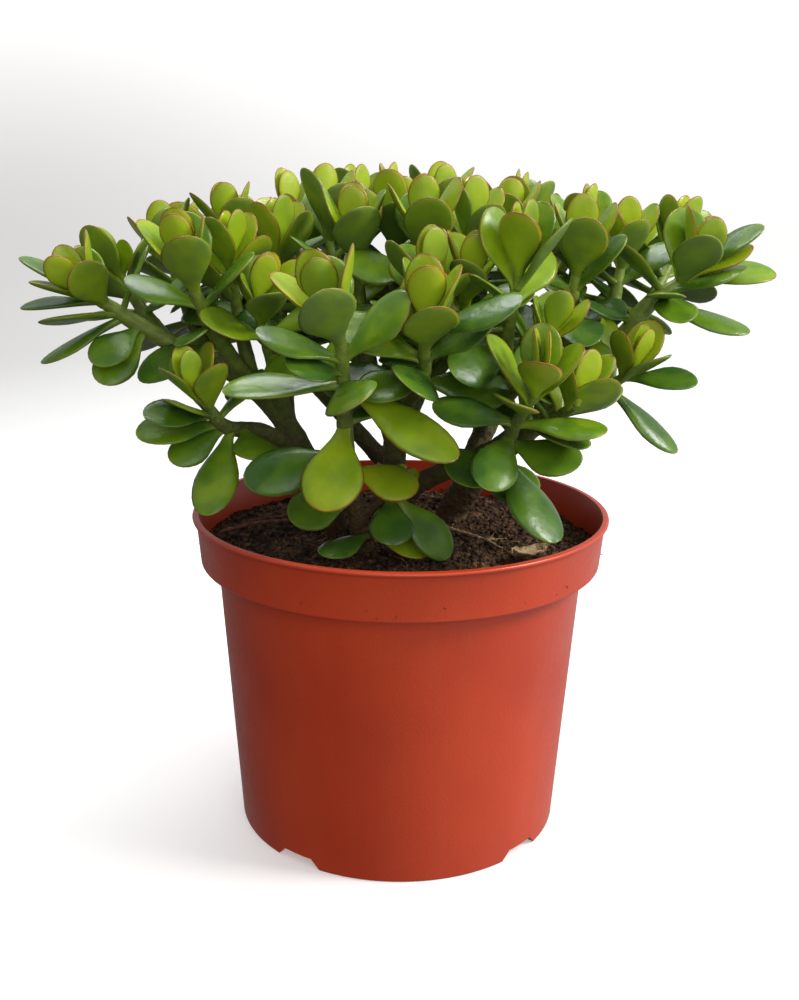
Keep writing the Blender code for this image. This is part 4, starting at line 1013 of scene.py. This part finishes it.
def shape_leaf(corners, leaf, swell=0.0, start=0.0):
    """Bend and taper the unit ball into the leaf; swell adds a margin all round."""
    side = leaf["along"].cross(leaf["face"])
    bend = math.radians(leaf["bend"]) or 0.001
    points = []
    for corner in corners:
        t = start + (1.0 - start) * (1.0 - corner.z) / 2
        grow = min(1.0, max(0.0, (t - PETIOLE_SHARE) / (WIDEST_AT - PETIOLE_SHARE)))
        grow = grow * grow * (3 - 2 * grow)
        past = max(0.0, (t - WIDEST_AT) / (1.0 - WIDEST_AT))
        round_off = math.sqrt(max(0.0, 1.0 - past * past))
        half_width = (PETIOLE_WIDTH + (leaf["width"] - PETIOLE_WIDTH) * grow) / 2 * round_off
        half_thick = LEAF_THICKNESS / 2 * (0.7 + 0.3 * grow) * (0.35 + 0.65 * round_off)
        turn = bend * t
        way = leaf["along"] * math.cos(turn) + leaf["face"] * math.sin(turn)
        top = leaf["face"] * math.cos(turn) - leaf["along"] * math.sin(turn)
        point = leaf["foot"] + leaf["along"] * (leaf["length"] * math.sin(turn) / bend)
        point = point + leaf["face"] * (leaf["length"] * (1 - math.cos(turn)) / bend)
        ring = math.hypot(corner.x, corner.y)
        if ring > 0.01:
            point = point + side * (corner.x / ring / EDGE_REACH * (half_width + swell))
            point = point - top * (corner.y / ring * (half_thick + swell))
        elif t > 0.5:
            point = point + way * swell
        points.append(point)
    return points


# %% [markdown]
# A shoot's leaves are either placed one by one or follow the rule for pairs, in which
# distance from the tip sets each pair's age, and age sets its length, tilt and width.

# %% Leaves of one shoot
def line_point(line, drop):
    """The point on a shoot's line at a distance below its tip."""
    for low, high in zip(reversed(line[:-1]), reversed(line[1:])):
        step = (high.xyz - low.xyz).length
        if drop <= step:
            return high.xyz.lerp(low.xyz, drop / step)
        drop -= step
    return None


def nearest_on_line(line, place):
    """The point of a shoot's line that is nearest to a place."""
    best = None
    for low, high in zip(line, line[1:]):
        span_way = high.xyz - low.xyz
        share = (place - low.xyz).dot(span_way) / span_way.length_squared
        spot = low.xyz + span_way * min(1.0, max(0.0, share))
        if best is None or (spot - place).length < (best - place).length:
            best = spot
    return best


def placed_leaves(line, rows):
    """Leaves set one by one, from the shoot's line to a given tip."""
    for foot, tip, width, twist in rows:
        base = nearest_on_line(line, Vector(metric(foot)))
        reach = Vector(metric(tip)) - base
        along = reach.normalized()
        face = (Vector((0.0, 0.0, 1.0)) - along * along.z).normalized()
        face = Matrix.Rotation(math.radians(twist), 3, along) @ face
        yield {"foot": base, "along": along, "face": face, "length": reach.length,
               "width": width * MM, "bend": -8.0, "stage": 0, "pair": PLACED_PAIR}


def pair_leaves(name, line, lean, roll, size, pairs):
    """Opposite leaves, each pair a quarter turn from the last, opening with age."""
    chance = random.Random(name)
    axis = Vector((lean[0], lean[1], 1.0)).normalized()
    front = Vector((0.0, -1.0, 0.0))
    front = (front - axis * front.dot(axis)).normalized()
    right = axis.cross(front)
    scale = size * MM
    for pair in range(pairs):
        foot = line_point(line, PAIR_DROP[pair] * size / 36)
        if foot is None:
            return
        for half in (0, 180):
            turn = math.radians(roll + 90 * pair + half + chance.uniform(-1, 1) * ROLL_SPREAD)
            out = front * math.cos(turn) + right * math.sin(turn)
            pitch = math.radians(PAIR_PITCH[pair] + chance.uniform(-1, 1) * PITCH_SPREAD)
            length = scale * PAIR_LENGTH[pair] * (1 + chance.uniform(-1, 1) * LENGTH_SPREAD)
            along = axis * math.cos(pitch) + out * math.sin(pitch)
            face = axis * math.sin(pitch) - out * math.cos(pitch)
            outward = Vector((foot.x, foot.y, 0.0))
            sense = 1.0 if along.cross(face).dot(outward) > 0 else -1.0
            twist = math.radians(PAIR_TWIST[pair] * chance.uniform(*TWIST_RANGE)) * sense
            face = Matrix.Rotation(twist, 3, along) @ face
            yield {"foot": foot - along * chance.uniform(*FOOT_SINK), "along": along,
                   "face": face, "length": length,
                   "width": length * PAIR_WIDTH[pair], "bend": PAIR_BEND[pair],
                   "stage": 1 if pair < ROSETTE_PAIRS else 2, "pair": pair}


# %% [markdown]
# Placed leaves settle first, then young pairs, then old ones. Each takes the first turn
# and size at which it meets no other shoot, stem, pot or soil.

# %% Room for every leaf
def dodged(leaf, pitch, yaw, shrink):
    """The same leaf turned a little on its foot, and made a little smaller."""
    side = leaf["along"].cross(leaf["face"])
    turn = Matrix.Rotation(math.radians(yaw), 3, leaf["face"])
    turn = turn @ Matrix.Rotation(math.radians(-pitch), 3, side)
    return dict(leaf, along=turn @ leaf["along"], face=turn @ leaf["face"],
                length=leaf["length"] * shrink, width=leaf["width"] * shrink)


def clear_of_pot(points):
    """Whether a leaf's points stay above the soil and off the pot's rim."""
    for point in points:
        radius = math.hypot(point.x, point.y)
        if radius < RIM_RADIUS + 0.003:
            near_wall = radius > wall_inside(POT_HEIGHT) - 0.004
            floor = POT_HEIGHT + 0.002 if near_wall else soil_height(point.x, point.y) + 0.001
            if point.z < floor:
                return False
    return True


def touches(name, middle, reach, tree, blade, settled):
    """Whether a leaf meets one that is settled; on one shoot only the blades count."""
    for other, centre, radius, whole, other_blade in settled:
        if (centre - middle).length > reach + radius:
            continue
        if other == name:
            if blade.overlap(other_blade):
                return True
        elif tree.overlap(whole):
            return True
    return False


def grow_leaves(lines, line_trees, rows, corners, faces):
    """Settle every leaf in a place where it touches no other shoot, stem or pot."""
    settled = []
    leaves = {row[0]: [] for row in rows}
    dropped = 0
    wanted = []
    for row in rows:
        wanted += [(row[0], leaf) for leaf in placed_leaves(lines[row[0]], row[8])]
    for name, _, _, _, lean, roll, size, pairs, _ in rows:
        pair_rows = pair_leaves(name, lines[name], lean, roll, size, pairs)
        wanted += [(name, leaf) for leaf in pair_rows]
    wanted.sort(key=lambda item: item[1]["stage"])
    for name, leaf in wanted:
        for shrink, (pitch, yaw) in ((s, d) for s in SHRINKS for d in DODGES):
            tried = dodged(leaf, pitch, yaw, shrink)
            points = shape_leaf(corners, tried, LEAF_GAP)
            if not clear_of_pot(points):
                continue
            tree = BVHTree.FromPolygons(points, faces)
            if any(tree.overlap(other) for own, other in line_trees.items() if own != name):
                continue
            middle = sum(points, Vector()) / len(points)
            reach = max((point - middle).length for point in points)
            blade = BVHTree.FromPolygons(shape_leaf(corners, tried, 0.0, 0.3), faces)
            if touches(name, middle, reach, tree, blade, settled):
                continue
            whole = BVHTree.FromPolygons(shape_leaf(corners, tried), faces)
            settled.append((name, middle, reach, whole, blade))
            leaves[name].append(tried)
            break
        else:
            dropped += 1
    print(f"{len(settled)} leaves settled, {dropped} left out")
    return leaves


# %% Grow the plant
def check_places(leaves, corners):
    """How far the grown leaves' boxes are from the CAD shoots' boxes, at most."""
    worst = 0.0
    for name, rows in leaves.items():
        points = [point for leaf in rows for point in shape_leaf(corners, leaf)]
        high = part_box(name)[1]
        grown_high = [max(point[axis] for point in points) for axis in range(3)]
        worst = max(worst, *(abs(grown_high[axis] - high[axis]) for axis in range(3)))
    print(f"grown leaves match the CAD shoots to {worst * 1000:.2f} mm")


whole_lines, wood_lines, green_lines = grow_lines(planted(STEMS))
line_trees = {name: BVHTree.FromPolygons(*line_mesh(branches.values()))
              for name, branches in wood_lines.items()}
line_trees.update({name: BVHTree.FromPolygons(*line_mesh([line]))
                   for name, line in green_lines.items()})
corners, corner_faces = leaf_template()
leaves = grow_leaves(green_lines, line_trees, SHOOTS, corners, corner_faces)
check_places(leaves, corners)


# %% [markdown]
# ## The stems
# A jade stem is a fleshy trunk with thin bark. Where a pair of leaves has dropped off, it
# keeps a ring. Each stem's branches become curves, and Geometry Nodes sweep a circle
# along them and widen it a little at every ring. The tubes are then fused to one skin by
# a voxel remesh, which fills the forks as growing wood does, and the skin is smoothed.

# %% Skin of the branches
RING_SPACING = 0.0105
RING_RISE = 0.10
SKIN_VOXEL = 0.00105
BARK_DENT = 0.0005
BARK_DENT_SIZE = 0.008
BRANCH_STEP = 0.0012
BRANCH_SIDES = 16
CALM_ROUNDS = 3


def branch_tree():
    tree, given, out = open_group("Branches", "GeometryNodeTree", [
        ("Geometry", "Geometry", None), ("Step", "Float", 0.001), ("Ring Spacing", "Float", 0.01),
        ("Ring Rise", "Float", 0.1), ("Sides", "Int", 16), ("Finish", "Material", None)],
        [("Geometry", "Geometry")])
    even = add(tree, "GeometryNodeResampleCurve", {"Curve": given.outputs["Geometry"]},
               mode="LENGTH")
    tree.links.new(given.outputs["Step"], even.inputs["Length"])
    place = tree.nodes.new("GeometryNodeSplineParameter")
    turns = maths(tree, "DIVIDE", place.outputs["Length"], given.outputs["Ring Spacing"])
    wave = maths(tree, "PINGPONG", turns, 0.5)
    ring = maths(tree, "POWER", maths(tree, "MULTIPLY", wave, 2.0), 10.0)
    swell = maths(tree, "ADD", maths(tree, "MULTIPLY", ring, given.outputs["Ring Rise"]), 1.0)
    radius = tree.nodes.new("GeometryNodeInputRadius")
    wider = add(tree, "GeometryNodeSetCurveRadius", {"Curve": even.outputs["Curve"],
                "Radius": maths(tree, "MULTIPLY", radius.outputs[0], swell)})
    circle = add(tree, "GeometryNodeCurvePrimitiveCircle", {"Resolution": given.outputs["Sides"],
                 "Radius": 1.0})
    radius_now = tree.nodes.new("GeometryNodeInputRadius")
    tubes = add(tree, "GeometryNodeCurveToMesh", {"Curve": wider.outputs["Curve"],
                "Profile Curve": circle.outputs["Curve"], "Scale": radius_now.outputs[0],
                "Fill Caps": True})
    return coated(tree, tubes.outputs["Mesh"], given, out)


def stem_skin(name, branches, finish):
    """One closed skin round all of a stem's branches."""
    curve = bpy.data.curves.new(name, "CURVE")
    curve.dimensions = "3D"
    for line in branches.values():
        spline = curve.splines.new("POLY")
        spline.points.add(len(line) - 1)
        for slot, row in zip(spline.points, line):
            slot.co = (*row.xyz, 1.0)
            slot.radius = row[3]
    tubes = grown(shown(name, curve), BRANCH_TREE, {"Step": BRANCH_STEP, "Sides": BRANCH_SIDES,
                  "Ring Spacing": RING_SPACING, "Ring Rise": RING_RISE, "Finish": finish})
    fuse = tubes.modifiers.new("Fuse", "REMESH")
    fuse.mode = "VOXEL"
    fuse.voxel_size = SKIN_VOXEL
    calm = tubes.modifiers.new("Calm", "SMOOTH")
    calm.factor = 0.5
    calm.iterations = CALM_ROUNDS
    dents = bpy.data.textures.new(f"{name}_dents", "CLOUDS")
    dents.noise_scale = BARK_DENT_SIZE
    bark = tubes.modifiers.new("Bark", "DISPLACE")
    bark.texture = dents
    bark.strength = BARK_DENT
    skin = settle(tubes)
    skin.data.shade_smooth()
    skin.data.materials.clear()
    skin.data.materials.append(finish)
    return skin


# %% [markdown]
# Low down the stems are brown and corky, then grey-olive, and the young ends are as green
# as the leaves. The colour therefore follows the height, moved up and down a little by
# patches, with pale specks, which are the pores of the bark.

# %% Bark
def jade_bark():
    made, tree, shader = material("jade_bark", 0.7, Specular_IOR_Level=0.35)
    place = tree.nodes.new("ShaderNodeTexCoord")
    parts = add(tree, "ShaderNodeSeparateXYZ", {0: place.outputs["Object"]})
    height = maths(tree, "ADD", parts.outputs["Z"], patches(tree, 45.0, -0.012, 0.012))
    share = add(tree, "ShaderNodeMapRange", {"Value": height, "From Min": 0.145,
                "From Max": 0.275}).outputs[0]
    base = ramp(tree, share, [(0.0, (0.085, 0.048, 0.022)), (0.20, (0.115, 0.080, 0.032)),
                              (0.42, (0.110, 0.120, 0.030)), (0.62, (0.130, 0.190, 0.026)),
                              (1.0, (0.200, 0.300, 0.030))])
    base = mixed(tree, maths(tree, "MULTIPLY", patches(tree, 260.0, detail=5.0), 0.45), base,
                 (0.060, 0.040, 0.020, 1.0))
    base = mixed(tree, maths(tree, "MULTIPLY", specks(tree, 520.0, 0.22), 0.5), base,
                 (0.34, 0.30, 0.17, 1.0))
    tree.links.new(base, shader.inputs["Base Color"])
    young = span(tree, height, 0.20, 0.26)
    gloss = maths(tree, "SUBTRACT", 0.75, maths(tree, "MULTIPLY", young, 0.32))
    tree.links.new(gloss, shader.inputs["Roughness"])
    crust = maths(tree, "MULTIPLY", patches(tree, 420.0, detail=5.0),
                  maths(tree, "SUBTRACT", 1.15, young))
    bump(tree, shader, crust, 0.0006)
    return made


BRANCH_TREE = branch_tree()
BARK = jade_bark()
for name, branches in whole_lines.items():
    placed(stem_skin(name.replace("stem", "bark"), branches, BARK), "jade_bark", name)


# %% [markdown]
# ## The leaves
# A jade leaf is a fleshy spoon: narrow at its foot, widest past the middle, round at the
# tip, nearly flat above and fuller below. Old leaves bend back, young ones curl in. A few
# leaf forms with different bends and curls are modelled once from a ball. Geometry Nodes
# then set one on every foot, turned, scaled and picked by attributes on the foot's point.
# Attributes on the forms mark the rim, the length and the two faces for the finish.

# %% Leaf forms
LEAF_AROUND = 12
LEAF_ALONG = 14
FORM_BENDS = (12.0, 6.0, 2.0, -3.0, -8.0, -14.0, -21.0, -29.0)
FORM_SWAYS = (-0.035, 0.03)
FORM_THICKNESS = 0.098      # of the leaf's length
FOOT_WIDTH_SHARE = 0.22     # of the leaf's width
NOMINAL_LEAF = 0.036


def leaf_form(name, bend, sway, cup):
    """A leaf one unit long and wide: its length on Y, its width on X, its upper face to +Z."""
    bm = bmesh.new()
    bmesh.ops.create_uvsphere(bm, u_segments=LEAF_AROUND, v_segments=LEAF_ALONG, radius=1.0)
    layers = {key: bm.verts.layers.float.new(key) for key in ("rim", "length", "upper")}
    turn_all = math.radians(bend) or 0.001
    for vert in bm.verts:
        x, y, z = vert.co
        t = (1.0 - z) / 2
        ring = math.hypot(x, y)
        across, up = (x / ring, y / ring) if ring > 0.0001 else (0.0, 0.0)
        grow = min(1.0, max(0.0, (t - PETIOLE_SHARE) / (WIDEST_AT - PETIOLE_SHARE)))
        grow = grow * grow * (3 - 2 * grow)
        past = max(0.0, (t - WIDEST_AT) / (1.0 - WIDEST_AT))
        round_off = math.sqrt(max(0.0, 1.0 - past * past))
        width = (FOOT_WIDTH_SHARE + (1 - FOOT_WIDTH_SHARE) * grow) * round_off
        thick = FORM_THICKNESS * (0.95 - 0.15 * grow) * round_off ** 0.85
        flat = across * width / 2
        lift = up * thick * (0.40 if up > 0 else 0.60)
        lift += cup * (flat * flat) - 0.012 * grow * max(0.0, 1 - abs(flat) * 6) * max(0.0, up)
        turn = turn_all * t
        forward = math.sin(turn) / turn_all - math.sin(turn) * lift
        rise = (1 - math.cos(turn)) / turn_all + math.cos(turn) * lift
        vert.co = (flat + sway * t * t, forward, rise)
        vert[layers["rim"]] = math.sqrt((1 - past * past) * across * across + past * past)
        vert[layers["length"]] = t
        vert[layers["upper"]] = up
    bmesh.ops.recalc_face_normals(bm, faces=bm.faces)
    mesh = poured(bm, name)
    mesh.shade_smooth()
    return bpy.data.objects.new(name, mesh)


leaf_forms = bpy.data.collections.new("leaf_forms")
scene.collection.children.link(leaf_forms)
for index, bend in enumerate(FORM_BENDS):
    for side, sway in enumerate(FORM_SWAYS):
        cup = (0.22, -0.10)[side] if bend > -5 else (-0.16, 0.12)[side]
        leaf_forms.objects.link(leaf_form(f"form_{index}{side}", bend, sway, cup))


# %% [markdown]
# The tree below reads the attributes by name. It ends in Realize Instances and Set
# Material, so that what leaves it is real mesh. Attributes of the points and of the forms
# stay on the mesh, and the leaf's finish reads them.

# %% Leaves on their feet
def leaf_tree():
    tree, given, out = open_group("Leaves", "GeometryNodeTree", [
        ("Geometry", "Geometry", None), ("Forms", "Collection", None), ("Size", "Float", 1.0),
        ("Finish", "Material", None)], [("Geometry", "Geometry")])

    def named(name, kind):
        return add(tree, "GeometryNodeInputNamedAttribute", {"Name": name},
                   data_type=kind).outputs[0]

    forms = add(tree, "GeometryNodeCollectionInfo", {"Collection": given.outputs["Forms"],
                "Separate Children": True, "Reset Children": True})
    size = add(tree, "ShaderNodeVectorMath", {0: named("size", "FLOAT_VECTOR"),
               "Scale": given.outputs["Size"]}, operation="SCALE")
    turn = add(tree, "FunctionNodeEulerToRotation", {"Euler": named("turn", "FLOAT_VECTOR")})
    copies = add(tree, "GeometryNodeInstanceOnPoints", {"Points": given.outputs["Geometry"],
                 "Instance": forms.outputs["Instances"], "Pick Instance": True,
                 "Instance Index": named("form", "INT"), "Rotation": turn.outputs["Rotation"],
                 "Scale": size.outputs[0]})
    return coated(tree, copies.outputs["Instances"], given, out)


def closest_form(leaf, side):
    """The form whose bend suits the leaf once it is scaled."""
    wanted = leaf["bend"] * leaf["length"] / math.sqrt(leaf["length"] * NOMINAL_LEAF)
    best = min(range(len(FORM_BENDS)), key=lambda index: abs(FORM_BENDS[index] - wanted))
    return best * len(FORM_SWAYS) + side


# Painted light: a few low leaves in front are shown with a young leaf's lighter yellow-green,
# for the light from the front that falls on them. The age each is shown with.
PAINTED_LIGHT_LEAVES = {("leaves_front", 2): 0.10, ("leaves_front", 3): 0.0,
                 ("leaves_front", 6): 0.15, ("leaves_sprout_low", 1): 0.05}


def leaf_points(name, rows):
    """A point on every leaf's foot, with what the node tree and the finish read."""
    chance = random.Random(name + "_tint")
    mesh = bpy.data.meshes.new(name)
    mesh.from_pydata([leaf["foot"] for leaf in rows], [], [])
    columns = {"turn": ("FLOAT_VECTOR", "vector"), "size": ("FLOAT_VECTOR", "vector"),
               "form": ("INT", "value"), "age": ("FLOAT", "value"), "tint": ("FLOAT", "value")}
    for key, (kind, _) in columns.items():
        mesh.attributes.new(key, kind, "POINT")
    for index, leaf in enumerate(rows):
        side = leaf["along"].cross(leaf["face"])
        axes = Matrix((side, leaf["along"], leaf["face"])).transposed()
        depth = math.sqrt(leaf["length"] * NOMINAL_LEAF)
        # Leaves in the painted-light table take a lower age and so a lighter colour: painted light.
        age = PAINTED_LIGHT_LEAVES.get((name, index), leaf["pair"] / OLDEST_PAIR)
        values = {"turn": axes.to_euler(), "size": (leaf["width"], leaf["length"], depth),
                  "form": closest_form(leaf, chance.randrange(len(FORM_SWAYS))),
                  "age": age, "tint": chance.random()}
        for key, value in values.items():
            setattr(mesh.attributes[key].data[index], columns[key][1], value)
    return shown(name, mesh)


# %% [markdown]
# The finish is waxy. Young leaves are yellow-green with a thin red rim, and old ones deep
# green with a pale rim. The under face is greyer and duller than the upper one. Patches,
# pale dots and a tint for each leaf keep any two leaves from looking alike.

# %% Leaf finish
def jade_leaf():
    made, tree, shader = material("jade_leaf", 0.35, Specular_IOR_Level=0.33)

    def read(name):
        return add(tree, "ShaderNodeAttribute", attribute_name=name).outputs["Fac"]

    rim, length, upper = read("rim"), read("length"), read("upper")
    age = maths(tree, "ADD", read("age"), maths(tree, "MULTIPLY", read("tint"), 0.44))
    age = maths(tree, "ADD", age, patches(tree, 60.0, -0.24, 0.08))
    above = ramp(tree, age, [(0.0, (0.330, 0.430, 0.010)), (0.34, (0.220, 0.335, 0.007)),
                             (0.66, (0.100, 0.200, 0.008)), (1.0, (0.036, 0.100, 0.011))])
    below = mixed(tree, span(tree, age, 0.2, 0.9, 0.05, 0.50), above, (0.150, 0.195, 0.060, 1.0))
    base = mixed(tree, span(tree, upper, -0.25, 0.05), below, above)
    base = mixed(tree, span(tree, length, 0.28, 0.04, 0.0, 0.55), base, (0.25, 0.33, 0.035, 1.0))
    base = mixed(tree, maths(tree, "MULTIPLY", specks(tree, 1100.0, 0.25), 0.16), base,
                 (0.40, 0.48, 0.12, 1.0))
    blush = maths(tree, "MULTIPLY", span(tree, rim, 0.72, 1.0, 0.0, 0.30),
                  span(tree, age, 0.5, 0.0))
    base = mixed(tree, blush, base, (0.36, 0.12, 0.03, 1.0))
    line = maths(tree, "MULTIPLY", span(tree, rim, 0.93, 0.985), span(tree, length, 0.22, 0.5))
    edge = ramp(tree, age, [(0.0, (0.220, 0.026, 0.010)), (0.35, (0.230, 0.050, 0.012)),
                            (0.65, (0.200, 0.230, 0.030)), (1.0, (0.110, 0.190, 0.030))])
    base = mixed(tree, maths(tree, "MULTIPLY", line, 0.75), base, edge)
    tree.links.new(base, shader.inputs["Base Color"])
    gloss = maths(tree, "ADD", patches(tree, 90.0, 0.24, 0.34),
                  span(tree, upper, 0.1, -0.4, 0.0, 0.16))
    tree.links.new(gloss, shader.inputs["Roughness"])
    skin = maths(tree, "ADD", patches(tree, 110.0, 0.0, 1.0), patches(tree, 1400.0, 0.0, 0.12))
    bump(tree, shader, skin, 0.00014)
    return made


LEAF = jade_leaf()
LEAF_TREE = leaf_tree()
for name, rows in leaves.items():
    points = leaf_points(name.replace("shoot", "leaves"), rows)
    foliage = grown(points, LEAF_TREE, {"Forms": leaf_forms, "Size": 1.0, "Finish": LEAF})
    foliage.data.shade_smooth()
    placed(foliage, "jade_leaf", name)
for form in list(leaf_forms.objects):
    bpy.data.objects.remove(form, do_unlink=True)
bpy.data.collections.remove(leaf_forms)


# %% [markdown]
# ## Litter on the soil
# A few dry twigs and one curled dry leaf lie on the soil, as under any old plant. They
# are short curves with a round section, and a thin folded sheet.

# %% Twigs and a dry leaf
# x, y, z and radius in mm
TWIGS = {
    "twig_right": [[(20, -6, 156, 1.1), (31, -12, 155, 1.0), (42, -18, 153, 0.9),
                    (54, -30, 150, 0.6)],
                   [(42, -18, 153, 0.9), (52, -14, 152, 0.7), (60, -16, 151, 0.5)]],
    "twig_left": [[(-92, -4, 151, 1.1), (-74, 6, 153, 1.3), (-54, 14, 152, 1.1)],
                  [(-84, 12, 151, 1.0), (-62, 20, 153, 1.1), (-44, 26, 152, 0.8)]],
}


def dry_finish(name, dark, pale):
    made, tree, shader = material(name, 0.75, Specular_IOR_Level=0.3)
    base = mixed(tree, patches(tree, 260.0, detail=4.0), (*dark, 1.0), (*pale, 1.0))
    tree.links.new(base, shader.inputs["Base Color"])
    bump(tree, shader, patches(tree, 600.0, detail=4.0), 0.0005)
    return made


def twig(name, rows, finish):
    lines = {str(index): [Vector(metric(point)) for point in row] for index, row in enumerate(rows)}
    smooth = {key: smooth_path([tuple(row) for row in line], FINE_STEPS)
              for key, line in lines.items()}
    return stem_skin(name, smooth, finish)


DRY_LEAF_HALF_WIDTH = 0.0045
DRY_LEAF_HALF_LENGTH = 0.0095
DRY_LEAF_CURL = 0.0035      # rise of its sides
DRY_LEAF_BEND = 0.002       # rise of its ends
DRY_LEAF_CRUMPLE = 0.0012
DRY_LEAF_SHEET = 0.0006
DRY_LEAF_PLACE = (0.062, -0.040, 0.1515)
DRY_LEAF_TURN = -62


def dry_leaf(name, place, finish):
    """A small dead leaf: a grid pinched to a leaf's outline and curled along its middle."""
    bm = bmesh.new()
    bmesh.ops.create_grid(bm, x_segments=10, y_segments=16, size=1.0)
    for vert in bm.verts:
        x, y, _ = vert.co
        width = DRY_LEAF_HALF_WIDTH * math.sqrt(max(0.0, 1 - y * y)) + 0.0004
        crumple = DRY_LEAF_CRUMPLE * noise.noise(Vector((x * 1.5, y * 3.0, 2.0)))
        rise = DRY_LEAF_CURL * abs(x) ** 1.5 + DRY_LEAF_BEND * y * y + crumple
        vert.co = (x * width, y * DRY_LEAF_HALF_LENGTH, rise)
    bmesh.ops.transform(bm, matrix=place, verts=bm.verts)
    thing = shown(name, poured(bm, name))
    thing.modifiers.new("Thickness", "SOLIDIFY").thickness = DRY_LEAF_SHEET
    thing = settle(thing)
    thing.data.shade_smooth()
    thing.data.materials.append(finish)
    return thing


TWIG_PALE = dry_finish("dry_twig_pale", (0.22, 0.13, 0.06), (0.50, 0.36, 0.20))
TWIG_RED = dry_finish("dry_twig_red", (0.10, 0.035, 0.02), (0.26, 0.12, 0.08))
for name, finish in (("twig_right", TWIG_PALE), ("twig_left", TWIG_RED)):
    placed(twig(name, TWIGS[name], finish), "jade_bark")
leaf_place = (Matrix.Translation(DRY_LEAF_PLACE)
              @ Matrix.Rotation(math.radians(DRY_LEAF_TURN), 4, "Z"))
placed(dry_leaf("dry_leaf", leaf_place, TWIG_PALE), "jade_bark")
